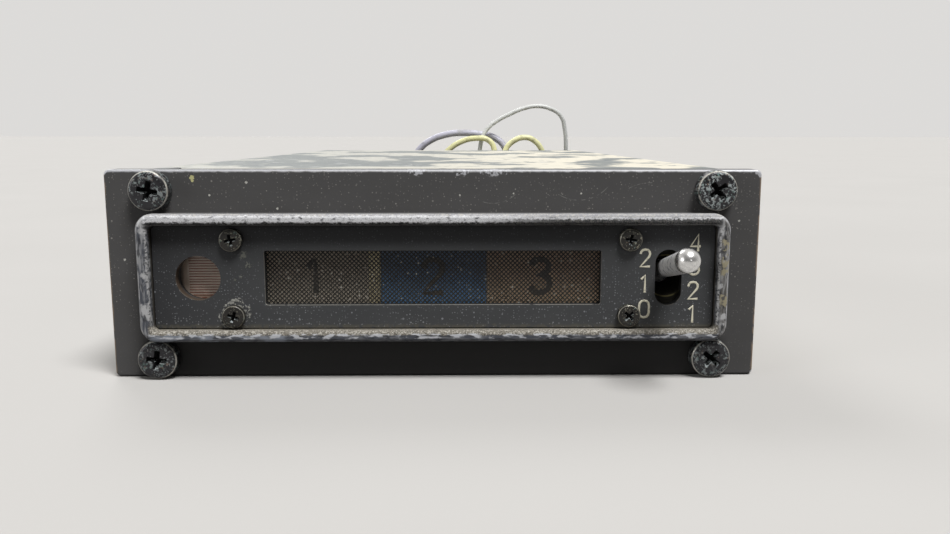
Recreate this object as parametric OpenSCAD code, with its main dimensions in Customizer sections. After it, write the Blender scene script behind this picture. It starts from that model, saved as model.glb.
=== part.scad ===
// Marker beacon receiver for a light aircraft's instrument panel: a shallow aluminium case with
// three lamps behind a mesh window, a photocell that dims them and a three-position toggle switch.
// Millimetres. +Z is up, the front faces -Y, and +X is to the right seen from the front.
// The origin is at the centre of the case's underside.

/* [Case] */
// Width of the case over its cover
case_w = 81.4; // [80.8:0.2:90]
// Height of the case over its cover
case_h = 26.5; // [26.4:0.1:32]
// Depth from the bezel's front face to the back of the rear panel
case_d = 165; // [155:1:200]
// Thickness of the case's aluminium sheet
sheet_t = 0.8; // [0.6:0.1:1]
// Outer radius of the sheet's bends
bend_r = 1.4; // [1.1:0.1:2]
// Gap between the chassis and the cover that wraps it
cover_gap = 0.1; // [0.05:0.05:0.2]
// Countersunk cover screws along each side
cover_screw_count = 3; // [2:1:4]

/* [Front bezel] */
// How far the bezel stands out beside the case
bezel_side = 0.9; // [0.6:0.1:2]
// How far the bezel stands above the case
bezel_over = 0.3; // [0.2:0.05:0.4]
// Thickness of the bezel's flange
bezel_t = 3.2; // [2.8:0.1:4]
// Radius of the bezel's corners
bezel_r = 0.7; // [0.7:0.1:2]
// Radius worn on the bezel's front edge
edge_r = 0.35; // [0.2:0.05:0.6]
// Distance from the raised rim to the bezel's sides
rim_margin_x = 4.4; // [4.1:0.1:4.7]
// Distance from the raised rim to the bezel's top and bottom
rim_margin_z = 5.25; // [5.2:0.05:5.5]
// Thickness of the rim's wall
rim_wall = 1.45; // [1.2:0.05:1.6]
// Height of the rim's middle below the bezel's middle
rim_drop = 0.15; // [0:0.05:0.15]
// Outer radius of the rim's corners
rim_r = 2.1; // [1.8:0.1:4]
// Height of the rim above the flange
rim_proud = 2.6; // [2:0.1:3.5]
// Radius that rounds the rim's lip
lip_r = 0.55; // [0.3:0.05:0.65]
// Depth of the faceplate below the rim's lip
recess_depth = 1.5; // [1:0.1:2]
// Distance of the corner screws from the bezel's sides
corner_inset_x = 6; // [5.8:0.1:6.2]
// Distance of the corner screws from the bezel's top and bottom
corner_inset_z = 2.6; // [2.6:0.05:2.65]

/* [Faceplate] */
// Thickness of the faceplate
plate_t = 1.2; // [0.8:0.1:1.6]
// Play all round between the faceplate and the rim
plate_gap = 0.15; // [0.1:0.05:0.3]
// Distance from the faceplate's left edge to the lamp window
window_left = 14; // [13.6:0.1:16]
// Distance from the lamp window to the faceplate's right edge
window_right = 14.4; // [14.4:0.1:17]
// Height of the lamp window
window_h = 7; // [5:0.1:7.4]
// Height of the window, photocell and slot below the rim's middle
row_drop = 0.1; // [0:0.05:0.3]
// Diameter of the photocell's opening
cell_hole_d = 5.7; // [4:0.1:5.8]
// Distance from the faceplate's left edge to the photocell
cell_inset = 5.6; // [5:0.1:5.6]
// Width of the switch slot
slot_w = 3.4; // [3:0.1:4.2]
// Length of the switch slot, round ends included
slot_l = 7.2; // [6.8:0.1:8]
// Distance from the switch to the faceplate's right edge
switch_inset = 5.8; // [5.3:0.1:5.8]
// Distance from the lamp window's ends to the small screws
small_gap_x = 3.8; // [3.6:0.1:3.8]
// Distance of the small screws from the faceplate's top and bottom
small_inset_z = 1.65; // [1.65:0.05:1.8]

/* [Lamp window] */
// Thickness of the etched mesh
mesh_t = 0.15; // [0.1:0.05:0.2]
// Thickness of the coloured lenses
lens_t = 2; // [1.5:0.1:2.6]
// Width of the middle lens
mid_lens_w = 13.6; // [12:0.1:15]
// Border of mesh and lenses hidden behind the faceplate
window_border = 1.6; // [1:0.1:1.7]
// Depth of the lamp housing behind the bezel
housing_d = 10; // [9:0.5:14]
// Diameter of a lamp's glass
lamp_d = 3.1; // [2.4:0.1:3.4]

/* [Toggle switch] */
// Length of the lever from its pivot to the centre of its tip
lever_l = 15.4; // [13:0.1:18]
// Diameter of the lever's ball tip
tip_d = 3; // [2.4:0.1:3.4]
// Diameter of the lever's neck
neck_d = 2.2; // [1.9:0.1:2.3]
// Lean of the lever to either side of centre, in degrees
lever_tilt = 13; // [10:0.5:14]
// Distance from the faceplate's front to the lever's pivot
pivot_depth = 6; // [5.8:0.1:6.6]
// Diameter of the switch's bushing
bushing_d = 6.35; // [6:0.05:6.6]
// Width of the switch's body
switch_w = 6.8; // [6.4:0.1:7]
// Height of the switch's body
switch_h = 12.7; // [12:0.1:14]
// Depth of the switch's body behind its shoulder
switch_d = 8.6; // [8:0.1:12]
// Diameter of the lever's and the rocker's pins
pin_d = 0.8; // [0.6:0.1:1]
// Radial play of the lever and the rocker on their pins
pin_gap = 0.04; // [0.02:0.01:0.08]

/* [Circuit board] */
// Gap between the main board and the chassis's sides
board_margin = 2; // [1.5:0.1:4]
// Length of the main board
board_l = 128; // [122:1:136]
// Thickness of the boards
board_t = 1.6; // [1:0.1:2]
// Height of the main board above the chassis floor
standoff_h = 5; // [4:0.5:6]
// Height of the shielding cans
can_h = 12.5; // [10:0.5:14]

/* [Rear panel] */
// Distance of the aerial jack from the case's left side
jack_inset = 16.7; // [14:0.1:21]
// Outer diameter of the aerial jack's barrel
jack_d = 9.66; // [9.2:0.02:10.2]
// Length of the barrel behind its flange
jack_l = 9.5; // [9:0.5:12]
// Distance of the power socket from the case's right side
socket_inset = 26.7; // [25:0.1:28]
// Distance between the socket's pins
pin_pitch = 3.68; // [3.5:0.02:3.8]

/* [Hidden] */
$fn = 48;
front_y = -case_d / 2;
rear_y = case_d / 2;
bezel_w = case_w + 2 * bezel_side;
bezel_h = case_h + bezel_over;
rim_w = bezel_w - 2 * rim_margin_x;
rim_h = bezel_h - 2 * rim_margin_z;
plate_w = rim_w - 2 * (rim_wall + plate_gap);
plate_h = rim_h - 2 * (rim_wall + plate_gap);
window_w = plate_w - window_left - window_right;
window_x = (window_left - window_right) / 2;
cell_x = cell_inset - plate_w / 2;
switch_x = plate_w / 2 - switch_inset;
mid_z = bezel_h / 2;
rim_z = mid_z - rim_drop;
row_z = rim_z - row_drop;
case_mid_z = case_h / 2;
cut = 1;
fit_gap = 0.05;
thread_gap = 0.06;

// Case
chassis_w = case_w - 2 * (sheet_t + cover_gap);
chassis_h = case_h - sheet_t - cover_gap;
inner_w = chassis_w - 2 * sheet_t;
case_front_y = front_y + bezel_t;
side_top_z = case_h - bend_r;
bend_inner_r = bend_r - sheet_t;

// Corner screws: number 3 pan heads that hold the bezel on blocks in the chassis's corners
corner_head_d = 5.15;
corner_head_h = 1.75;
corner_screw_d = 2.5;
corner_screw_l = 10;
corner_x = bezel_w / 2 - corner_inset_x;
corner_z = bezel_h / 2 - corner_inset_z;
block_w = 7;
block_d = 9;
block_top_z = chassis_h + cover_gap / 2;
block_h = block_top_z - (mid_z + corner_z) + 3.4;

// Small screws: number 0 pan heads that pass the faceplate and the bezel into the lamp housing
small_head_d = 2.95;
small_head_h = 0.75;
small_screw_d = 1.52;
small_x = window_x - 0.2;
small_z = row_z;
small_pitch_x = window_w + 2 * small_gap_x;
small_pitch_z = plate_h - 2 * small_inset_z;
tab_w = 3.2;
tab_h = 3.4;

// Cover screws: number 4 countersunk heads
flat_head_d = 5;
flat_head_h = 1.2;
cover_screw_d = 2.84;
cover_nut_d = 6;
cover_nut_t = 3;
cover_screw_z = case_h * 0.5;
cover_end_margin = 18;
cover_pitch = (case_d - bezel_t - 2 * cover_end_margin) / (cover_screw_count - 1);

// Depths behind the bezel's front face
plate_front = rim_proud - recess_depth;
seat = plate_front - plate_t;
face_y = front_y - plate_front;
plate_back_y = front_y - seat;
mesh_back_y = plate_back_y + mesh_t;
lens_front_y = mesh_back_y + fit_gap;
lens_back_y = lens_front_y + lens_t;
pocket_w = window_w + 2 * window_border;
pocket_h = window_h + 2 * window_border;
housing_wall = 0.9;
housing_flange_t = 1.6;
housing_back_y = case_front_y + housing_d;
lamp_back_t = 2;
left_lens_w = (pocket_w - mid_lens_w) / 2;
lens_x = [window_x - mid_lens_w / 2 - left_lens_w / 2, window_x, window_x + mid_lens_w / 2 + left_lens_w / 2];
lens_w = [left_lens_w, mid_lens_w, left_lens_w];
lamp_pitch = 6;
lamp_l = 6.5;

// Photocell
cell_d = cell_hole_d + 0.3;
cell_front_y = face_y + 2.4;
cell_t = 2.2;

// Toggle switch
pivot_y = face_y + pivot_depth;
nut_t = 1.7;
nut_across = 8;
nut_pocket_d = 10;
bushing_front_y = plate_back_y + 0.25;
shoulder_y = case_front_y + 0.5;
shoulder_t = pivot_y + 1.1 - shoulder_y;
body_y = shoulder_y + shoulder_t;
body_back_y = body_y + switch_d;
body_wall = 0.9;
ball_r = 1.55;
socket_r = ball_r + 0.15;
inner_l = 4.4;
plunger_r = 0.7;
rocker_y = pivot_y + inner_l + plunger_r + 1.2;
rocker_hub_r = 0.95;
rocker_half = 5;
rocker_t = 0.5;
rocker_w = 2.4;
rocker_wing = 10;
rocker_ratio = 0.6;
rocker_rest = lever_tilt * rocker_ratio;
terminal_pitch = 4.7;
terminal_w = 2;
terminal_t = 0.7;
terminal_l = 4;
contact_y = rocker_y - 0.32;

// Main board
board_w = inner_w - 2 * board_margin;
board_left = -board_w / 2;
board_right = board_w / 2;
board_z = sheet_t + standoff_h;
board_top_z = board_z + board_t;
board_back_y = rear_y - 10;
board_front_y = board_back_y - board_l;
board_hole_x = board_w / 2 - 4;
board_hole_y = [board_front_y + 6, (board_front_y + board_back_y) / 2, board_back_y - 6];
standoff_d = 5;
transformer_x = board_right - 15.5;
board_screw_d = 2.2;
board_steps = 64;
lead_gap = 0.3;
lead_below = 0.8;
disc_pitch = 4.4;
disc_lead_d = 0.5;
resistor_pitch = 9.6;
resistor_lead_d = 0.6;
leg_pitch = 1.27;
circuit_span = 7.62;
circuit_pitch = 2.54;
circuit_leg_w = 1;

// Rear panel
panel_t = 1.2;
panel_inner_y = rear_y - panel_t;
panel_z0 = bend_r;
panel_z1 = chassis_h - fit_gap;
panel_half_w = inner_w / 2 - fit_gap;
panel_flange_l = 9;
rivet_d = 2.4;
rivet_y = panel_inner_y - 5;

// Power socket and plug, four columns and three rows
socket_x = case_w / 2 - socket_inset;
socket_cols = 4;
socket_rows = 3;
plug_margin = 3.3;
plug_w = (socket_cols - 1) * pin_pitch + 2 * plug_margin;
plug_h = (socket_rows - 1) * pin_pitch + 2 * plug_margin;
socket_wall = 1.2;
socket_play = 0.2;
socket_w = plug_w + 2 * (socket_play + socket_wall);
socket_h = plug_h + 2 * (socket_play + socket_wall);
socket_front_y = rear_y - 9;
socket_floor_y = socket_front_y + 4;
socket_back_y = rear_y + 8;
plug_front_y = socket_floor_y + 0.4;
plug_back_y = rear_y + 14.5;
cavity_d = 2.7;
cavity_depth = 3;
cavity_y = plug_back_y - cavity_depth;
socket_pin_d = 1.57;

// Aerial jack, a bayonet coaxial barrel on a round flange
jack_x = jack_inset - case_w / 2;
jack_z = case_mid_z;
jack_flange_d = 14;
jack_flange_t = 2;
jack_bore_d = 8.1;
jack_back_y = rear_y + jack_flange_t + jack_l;
jack_shank_y = panel_inner_y - 7;
lug_d = 2;
lug_rise = 0.9;

// Free wires: diameters, and the points they follow after their first stretch out of the plug,
// X and Y from the middle of the plug's back face, Z from the ground
clear_d = 1.46;
violet_d = 2.3;
yellow_d = 1.9;
first_stretch = 1.8;
clear_way = [
    [-5.4, 5.8, 18.1], [-5.1, 8.8, 21.2], [-4.5, 10.2, 25.4], [-3.7, 11.2, 29.8], [-2, 11.8, 33.2],
    [1.6, 12.2, 36.2], [5.8, 12.5, 38.4], [10.6, 13, 40.4], [15.5, 13.5, 41.3], [20.1, 14, 40.5],
    [24, 14.5, 38], [25.6, 15, 33], [26.1, 15.5, 27.2], [26, 16, 21.6], [25.7, 17, 16],
    [25.1, 18.4, 10.6], [23.8, 20.6, 5.6], [21.2, 23.6, 2], [17, 26.4, 0.75], [12, 28.2, 0.75],
    [6.8, 29, 0.75]
];
violet_way = [
    [2.4, 6.6, 14.6], [3.8, 10, 18], [4.8, 12.2, 22.4], [4.4, 13.6, 27], [0.8, 14.4, 30.4],
    [-5, 14.6, 31.7], [-10.2, 15, 32.1], [-15.6, 15.1, 31.6], [-21.4, 15.4, 29.6], [-25.8, 15.8, 26],
    [-28.4, 16.4, 21], [-29.8, 17.4, 15.6], [-30.8, 19, 10], [-32.2, 21.6, 5], [-35, 24.8, 1.8],
    [-39.4, 27.2, 1.15], [-44.6, 28, 1.15]
];
yellow_a_way = [
    [-1.4, 5.4, 18.6], [-0.2, 7.6, 22], [0.6, 8.6, 26], [-1.2, 9, 29.4], [-6, 9.4, 30.2],
    [-11.2, 9.6, 28.9], [-15.2, 9.9, 26.2], [-18, 10.2, 22.6], [-19.6, 11, 18], [-20.6, 12.4, 13.2],
    [-21.2, 14.8, 8.4], [-21.6, 18.2, 3.8], [-21.6, 22.6, 1.2], [-21.2, 27.4, 0.95]
];
yellow_b_way = [
    [5, 5.4, 18.4], [4.2, 7.8, 21.6], [4.3, 9, 25.8], [6.8, 9.6, 29], [11.6, 10, 30.5], [15, 10.4, 29],
    [17.2, 10.6, 26], [18.4, 11, 21.8], [19, 11.8, 17], [18.8, 13.2, 12.4], [17.8, 15.4, 7.8],
    [15.6, 18.4, 3.6], [11.8, 21.4, 1.2], [6.8, 23.4, 0.95]
];

// Shapes that repeat

// Rounded rectangle about the origin
module rounded_rect(w, h, r) {
    square([w - 2 * r, h], center = true);
    square([w, h - 2 * r], center = true);
    for (sx = [-1, 1], sy = [-1, 1])
        translate([sx * (w / 2 - r), sy * (h / 2 - r)]) circle(r);
}

// Plate between two depths, its outline drawn in X and Z
module plate(y0, y1) {
    translate([0, y1, 0]) rotate([90, 0, 0]) linear_extrude(y1 - y0) children();
}

// Round bar along Y
module bar_y(x, z, d, y0, y1) {
    translate([x, y1, z]) rotate([90, 0, 0]) cylinder(d = d, h = y1 - y0);
}

// Round bar along X
module bar_x(y, z, d, x0, x1) {
    translate([x0, y, z]) rotate([0, 90, 0]) cylinder(d = d, h = x1 - x0);
}

// Box between two corners
module box(low, high) {
    translate(low) cube(high - low);
}

// Drawing plane with X to the right, Y up and Z out of the bezel's front face
module on_front(out = 0, z = mid_z) {
    translate([0, front_y - out, z]) rotate([90, 0, 0]) children();
}

// Profile swept round a rounded rectangle: its x runs outwards from the corner's centre
module swept_frame(w, h, r) {
    for (side = [0 : 3])
        rotate(side * 90) {
            long = side % 2 == 0 ? w : h;
            wide = side % 2 == 0 ? h : w;
            translate([long / 2 - r, wide / 2 - r, 0]) rotate_extrude(angle = 90) children();
            translate([long / 2 - r, wide / 2 - r, 0]) rotate([90, 0, 0])
                linear_extrude(wide - 2 * r) children();
        }
}

// Wall profile with both top edges rounded
module lip_profile(outer, wall, low, high, r) {
    translate([outer - wall, low]) square([wall, high - low - r]);
    translate([outer - wall + r, high - r - 0.01]) square([wall - 2 * r, r + 0.01]);
    for (x = [outer - wall + r, outer - r]) translate([x, high - r]) circle(r);
}

// Cross recess of a screw head, cut down from its top
module cross_recess(span, depth) {
    wide = span * 0.24;
    for (turn = [0, 90])
        rotate(turn) translate([0, 0, -depth / 2 + 0.01]) cube([span, wide, depth], center = true);
}

// Pan-head screw: head on the plane z = 0, shank below it
module pan_screw(head_d, head_h, shank_d, length, turn = 0) {
    crown = head_h * 0.45;
    difference() {
        rotate_extrude() {
            square([head_d / 2 - crown, head_h]);
            square([head_d / 2, head_h - crown]);
            intersection() {
                translate([head_d / 2 - crown, head_h - crown]) circle(crown);
                translate([0, head_h - crown]) square([head_d, head_h]);
            }
        }
        translate([0, 0, head_h]) rotate(turn) cross_recess(head_d * 0.56, head_h * 0.6);
    }
    translate([0, 0, -length]) cylinder(d = shank_d, h = length);
}

function corner_points() = [for (sx = [-1, 1], sz = [-1, 1]) [sx * corner_x, mid_z + sz * corner_z]];
function small_points() = [for (sx = [-1, 1], sz = [-1, 1])
    [small_x + sx * small_pitch_x / 2, small_z + sz * small_pitch_z / 2]];
function cover_screw_y(i) = case_front_y + cover_end_margin + i * cover_pitch;
function cavity_x(col) = socket_x + (col - (socket_cols - 1) / 2) * pin_pitch;
function cavity_z(row) = case_mid_z + (row - (socket_rows - 1) / 2) * pin_pitch;

// Front

module front_bezel() {
    inner_w = rim_w - 2 * rim_wall;
    inner_h = rim_h - 2 * rim_wall;
    color("#35332f") difference() {
        union() {
            on_front() swept_frame(bezel_w, bezel_h, bezel_r) {
                translate([0, -bezel_t]) square([bezel_r, bezel_t - edge_r]);
                translate([0, -edge_r - 0.01]) square([bezel_r - edge_r, edge_r + 0.01]);
                translate([bezel_r - edge_r, -edge_r]) intersection() {
                    circle(edge_r);
                    square(edge_r);
                }
            }
            on_front(-bezel_t) translate([0, 0, bezel_t / 2])
                cube([bezel_w - 2 * bezel_r, bezel_h - 2 * bezel_r, bezel_t], center = true);
            on_front(0, rim_z) swept_frame(rim_w, rim_h, rim_r)
                lip_profile(rim_r, rim_wall, -0.6, rim_proud, lip_r);
        }
        on_front(seat, rim_z) linear_extrude(recess_depth + plate_t + cut)
            rounded_rect(inner_w, inner_h, rim_r - rim_wall);
        plate(front_y - rim_proud, case_front_y + cut) translate([window_x, row_z])
            square([pocket_w + 2 * fit_gap, pocket_h + 2 * fit_gap], center = true);
        bar_y(cell_x, row_z, cell_d + 2 * fit_gap, front_y - cut, case_front_y + cut);
        bar_y(switch_x, row_z, bushing_d + 0.15, front_y - cut, case_front_y + cut);
        bar_y(switch_x, row_z, nut_pocket_d, front_y - cut, plate_back_y + nut_t + 0.15);
        for (p = corner_points()) bar_y(p[0], p[1], corner_screw_d + 0.2, front_y - cut, case_front_y + cut);
        for (p = small_points()) bar_y(p[0], p[1], small_screw_d + 0.15, front_y - cut, case_front_y + cut);
    }
}

module faceplate() {
    color("#2b2d31") difference() {
        plate(face_y, plate_back_y) translate([0, rim_z])
            rounded_rect(plate_w, plate_h, rim_r - rim_wall - plate_gap);
        plate(face_y - cut, plate_back_y + cut) translate([window_x, row_z])
            rounded_rect(window_w, window_h, 0.3);
        bar_y(cell_x, row_z, cell_hole_d, face_y - cut, plate_back_y + cut);
        plate(face_y - cut, plate_back_y + cut) translate([switch_x, row_z]) {
            square([slot_w, slot_l - slot_w], center = true);
            for (s = [-1, 1]) translate([0, s * (slot_l - slot_w) / 2]) circle(d = slot_w);
        }
        for (p = small_points()) bar_y(p[0], p[1], small_screw_d + 0.15, face_y - cut, plate_back_y + cut);
    }
}

module faceplate_screws() {
    length = case_front_y + housing_flange_t - face_y;
    turns = [20, -12, 45, 8];
    color("#1d1d1f")
        for (i = [0 : 3])
            translate([small_points()[i][0], face_y, small_points()[i][1]]) rotate([90, 0, 0])
                pan_screw(small_head_d, small_head_h, small_screw_d, length, turns[i]);
}

module corner_screws() {
    turns = [8, 0, 40, 52];
    color("#222224")
        for (i = [0 : 3])
            translate([corner_points()[i][0], front_y, corner_points()[i][1]]) rotate([90, 0, 0])
                pan_screw(corner_head_d, corner_head_h, corner_screw_d, corner_screw_l, turns[i]);
}

// Tapped blocks in the corners of the chassis that take the corner screws
module corner_blocks() {
    color("#b9bcc0")
        for (sx = [-1, 1], sz = [-1, 1])
            difference() {
                z0 = sz < 0 ? sheet_t : block_top_z - block_h;
                z1 = sz < 0 ? sheet_t + block_h : block_top_z;
                x0 = sx < 0 ? -inner_w / 2 : inner_w / 2 - block_w;
                box([x0, case_front_y, z0], [x0 + block_w, case_front_y + block_d, z1]);
                bar_y(sx * corner_x, mid_z + sz * corner_z,
                    corner_screw_d + thread_gap, case_front_y - cut, case_front_y + block_d + cut);
                notch = bend_inner_r + fit_gap;
                translate([sx * inner_w / 2, case_front_y + block_d / 2, sheet_t]) rotate([0, 45, 0])
                    cube([notch, block_d + 2 * cut, notch], center = true);
            }
}

// Lamp window

module window_mesh() {
    color("#55504a") plate(plate_back_y, mesh_back_y) translate([window_x, row_z])
        square([pocket_w, pocket_h], center = true);
}

module lens(i) {
    plate(lens_front_y, lens_back_y) translate([lens_x[i], row_z])
        square([lens_w[i] - fit_gap, pocket_h], center = true);
}

module clear_lens() { color("#b8ab98") lens(0); }

module blue_lens() { color("#1c3f6e") lens(1); }

module amber_lens() { color("#a86a33") lens(2); }

// Black block with a pocket behind each lens, and a flange with four tabs that the small screws draw up
module lamp_housing() {
    color("#1a1a1b") difference() {
        union() {
            plate(lens_back_y + fit_gap, housing_back_y) translate([window_x, row_z])
                square([pocket_w, pocket_h], center = true);
            plate(case_front_y, case_front_y + housing_flange_t) {
                translate([small_x, small_z]) square([small_pitch_x, small_pitch_z], center = true);
                for (p = small_points()) translate(p) square([tab_w, tab_h], center = true);
            }
        }
        for (i = [0 : 2])
            plate(lens_back_y - cut, housing_back_y - lamp_back_t) translate([lens_x[i], row_z])
                square([lens_w[i] - 2 * housing_wall, pocket_h - 2 * housing_wall], center = true);
        for (i = [0 : 2], s = [-1, 1])
            bar_y(lens_x[i] + s * lamp_pitch / 2, row_z, lamp_d + 0.1,
                housing_back_y - lamp_back_t - cut, housing_back_y + cut);
        for (p = small_points())
            bar_y(p[0], p[1], small_screw_d + thread_gap,
                case_front_y - cut, case_front_y + housing_flange_t + cut);
    }
}

// Midget lamps with a domed glass, a brass collar and two wire ends
module lamps() {
    color("#e8e2d0")
        for (i = [0 : 2], s = [-1, 1])
            translate([lens_x[i] + s * lamp_pitch / 2, housing_back_y, row_z]) rotate([90, 0, 0]) {
                cylinder(d = lamp_d, h = lamp_l - lamp_d / 2);
                translate([0, 0, lamp_l - lamp_d / 2]) sphere(d = lamp_d);
                for (t = [-1, 1])
                    translate([t * 0.64, 0, -board_t - 0.8]) cylinder(d = 0.4, h = board_t + 0.9);
            }
}

module lamp_board() {
    color("#6b7a3a") difference() {
        plate(housing_back_y, housing_back_y + board_t) translate([window_x, row_z])
            square([pocket_w, pocket_h + 2], center = true);
        for (i = [0 : 2], s = [-1, 1], t = [-1, 1])
            bar_y(lens_x[i] + s * lamp_pitch / 2 + t * 0.64, row_z, 0.6,
                housing_back_y - cut, housing_back_y + board_t + cut);
    }
}

// Ceramic disc in a short can, its sensitive face towards the opening
module photocell() {
    back = cell_front_y + cell_t;
    color("#a98678") {
        bar_y(cell_x, row_z, cell_d, cell_front_y, back);
        bar_y(cell_x, row_z, cell_d - 1, back - 0.01, back + 1.2);
    }
}

// Toggle switch

// Die-cast bushing with its square shoulder and the two straps that grip the body
module switch_bushing() {
    strap_t = 0.4;
    color("#b39a4a") difference() {
        union() {
            bar_y(switch_x, row_z, bushing_d, bushing_front_y, shoulder_y + 0.1);
            plate(shoulder_y, body_y) translate([switch_x, row_z])
                square([switch_w, switch_h + 2 * strap_t], center = true);
            for (s = [-1, 1])
                plate(body_y - 0.1, body_back_y) translate([switch_x, row_z + s * (switch_h + strap_t) / 2])
                    square([4, strap_t], center = true);
        }
        translate([switch_x, pivot_y, row_z]) rotate([-90, 0, 0])
            cylinder(r = socket_r, h = body_y - pivot_y + cut);
        translate([switch_x, pivot_y, row_z]) sphere(r = socket_r);
        translate([switch_x, pivot_y, row_z]) rotate([90, 0, 0])
            cylinder(r1 = socket_r - 0.3,
                r2 = neck_d / 2 + 0.3 + tan(lever_tilt + 2) * (pivot_y - bushing_front_y),
                h = pivot_y - bushing_front_y + 0.01);
        bar_x(pivot_y, row_z, pin_d, switch_x - switch_w, switch_x + switch_w);
    }
}

module switch_nut() {
    color("#a9a9a4") difference() {
        translate([switch_x, plate_back_y + nut_t + 0.15, row_z]) rotate([90, 30, 0])
            cylinder(d = nut_across / cos(30), h = nut_t, $fn = 6);
        bar_y(switch_x, row_z, bushing_d + thread_gap, plate_back_y - cut, case_front_y + cut);
    }
}

module switch_body() {
    color("#5a1f1c") difference() {
        plate(body_y, body_back_y) translate([switch_x, row_z])
            square([switch_w, switch_h], center = true);
        plate(body_y - cut, body_back_y - 1.2) translate([switch_x, row_z])
            square([switch_w - 2 * body_wall, switch_h - 2 * body_wall], center = true);
        bar_x(rocker_y, row_z, pin_d, switch_x - switch_w / 2 + 0.45, switch_x + switch_w / 2 - 0.45);
        for (i = [-1 : 1])
            plate(body_back_y - 1.2 - cut, body_back_y + cut)
                translate([switch_x, row_z + i * terminal_pitch])
                    square([terminal_w + 0.04, terminal_t + 0.04], center = true);
    }
}

// Lever drawn upright on its pivot, then leant to its raised position
module lever_pose() {
    translate([switch_x, pivot_y, row_z]) rotate([90 - lever_tilt, 0, 0]) children();
}

module switch_lever() {
    tip_r = tip_d / 2;
    neck_r = neck_d / 2;
    shank_r = 0.9;
    color("#c4c6c8") lever_pose() difference() {
        union() {
            sphere(r = ball_r);
            rotate_extrude() polygon([
                [0, 0], [neck_r, 0], [neck_r, 3.4], [neck_r + 0.12, 5.5],
                [tip_r * 0.94, lever_l - tip_r * 0.8], [tip_r, lever_l], [0, lever_l]
            ]);
            translate([0, 0, lever_l]) sphere(r = tip_r);
            translate([0, 0, -inner_l + 1.4]) cylinder(r = shank_r, h = inner_l - 1.4);
        }
        translate([0, 0, -inner_l]) cylinder(r = 0.45, h = 2.6);
        rotate([0, 90, 0]) cylinder(d = pin_d + 2 * pin_gap, h = 4 * ball_r, center = true);
    }
}

// Nylon tip that slides in the lever's inner end and presses the rocker
module lever_plunger() {
    color("#e6e2d6") lever_pose() {
        translate([0, 0, -inner_l]) sphere(r = plunger_r);
        translate([0, 0, -inner_l]) cylinder(r = 0.42, h = 2.2);
        translate([0, 0, -inner_l]) cylinder(r = plunger_r, h = 0.9);
    }
}

module lever_pin() {
    color("#8f9296") bar_x(pivot_y, row_z, pin_d, switch_x - switch_w / 2, switch_x + switch_w / 2);
}

// Seesaw contact: a hub with two wings bent towards the lever
module contact_rocker() {
    color("#c98f4e") translate([switch_x, rocker_y, row_z]) rotate([rocker_rest, 0, 0]) difference() {
        union() {
            rotate([0, 90, 0]) cylinder(r = rocker_hub_r, h = rocker_w, center = true);
            for (s = [-1, 1])
                rotate([s * rocker_wing, 0, 0])
                    translate([0, -rocker_hub_r + rocker_t / 2, s * rocker_half / 2])
                        cube([rocker_w, rocker_t, rocker_half], center = true);
        }
        rotate([0, 90, 0]) cylinder(d = pin_d + 2 * pin_gap, h = 3 * rocker_w, center = true);
    }
}

module rocker_pin() {
    color("#8f9296")
        bar_x(rocker_y, row_z, pin_d, switch_x - switch_w / 2 + 0.5, switch_x + switch_w / 2 - 0.5);
}

module switch_terminals() {
    color("#d8c27a")
        for (i = [-1 : 1])
            difference() {
                reach = i == 0 ? rocker_y + rocker_hub_r + 0.2 : contact_y;
                plate(reach, body_back_y + terminal_l) translate([switch_x, row_z + i * terminal_pitch])
                    square([terminal_w, terminal_t], center = true);
                translate([switch_x, body_back_y + terminal_l - 1.5, row_z + i * terminal_pitch])
                    cylinder(d = 0.9, h = 3, center = true);
            }
}

// Case

// Floor and sides of the chassis, bent from one sheet
module chassis() {
    color("#b4b6b3") difference() {
        plate(case_front_y, rear_y) difference() {
            union() {
                translate([-chassis_w / 2 + bend_r, 0]) square([chassis_w - 2 * bend_r, bend_r]);
                translate([-chassis_w / 2, bend_r]) square([chassis_w, side_top_z - bend_r]);
                for (s = [-1, 1]) translate([s * (chassis_w / 2 - bend_r), bend_r]) circle(bend_r);
            }
            translate([-inner_w / 2 + bend_inner_r, sheet_t])
                square([inner_w - 2 * bend_inner_r, chassis_h]);
            translate([-inner_w / 2, bend_r]) square([inner_w, chassis_h]);
            for (s = [-1, 1]) translate([s * (inner_w / 2 - bend_inner_r), bend_r]) circle(bend_inner_r);
        }
        for (i = [0 : cover_screw_count - 1], s = [-1, 1]) side_screw_hole(s, cover_screw_y(i));
        for (s = [-1, 1], z = rivet_z())
            bar_x(rivet_y, z, rivet_d, s * chassis_w / 2 - 2, s * chassis_w / 2 + 2);
    }
}

// Cover, an inverted channel over the chassis
module top_cover() {
    color("#8f9296") difference() {
        plate(case_front_y, rear_y) difference() {
            union() {
                translate([-case_w / 2, 0]) square([case_w, case_h - bend_r]);
                translate([-case_w / 2 + bend_r, case_h - bend_r - cut])
                    square([case_w - 2 * bend_r, bend_r + cut]);
                for (s = [-1, 1]) translate([s * (case_w / 2 - bend_r), case_h - bend_r]) circle(bend_r);
            }
            translate([-case_w / 2 + sheet_t, -cut]) square([case_w - 2 * sheet_t, case_h - bend_r + cut]);
            translate([-case_w / 2 + bend_r, 0]) square([case_w - 2 * bend_r, case_h - sheet_t]);
            for (s = [-1, 1]) translate([s * (case_w / 2 - bend_r), case_h - bend_r]) circle(bend_inner_r);
        }
        for (i = [0 : cover_screw_count - 1], s = [-1, 1]) side_screw_hole(s, cover_screw_y(i));
    }
}

// Countersunk hole through the cover and the chassis's side
module side_screw_hole(s, y) {
    translate([s * case_w / 2, y, cover_screw_z]) rotate([0, -s * 90, 0]) {
        translate([0, 0, -cut]) cylinder(d = flat_head_d + 0.1, h = cut);
        cylinder(d1 = flat_head_d + 0.1, d2 = cover_screw_d + 0.1, h = flat_head_h);
        cylinder(d = cover_screw_d + 0.1, h = 3);
    }
}

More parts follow.
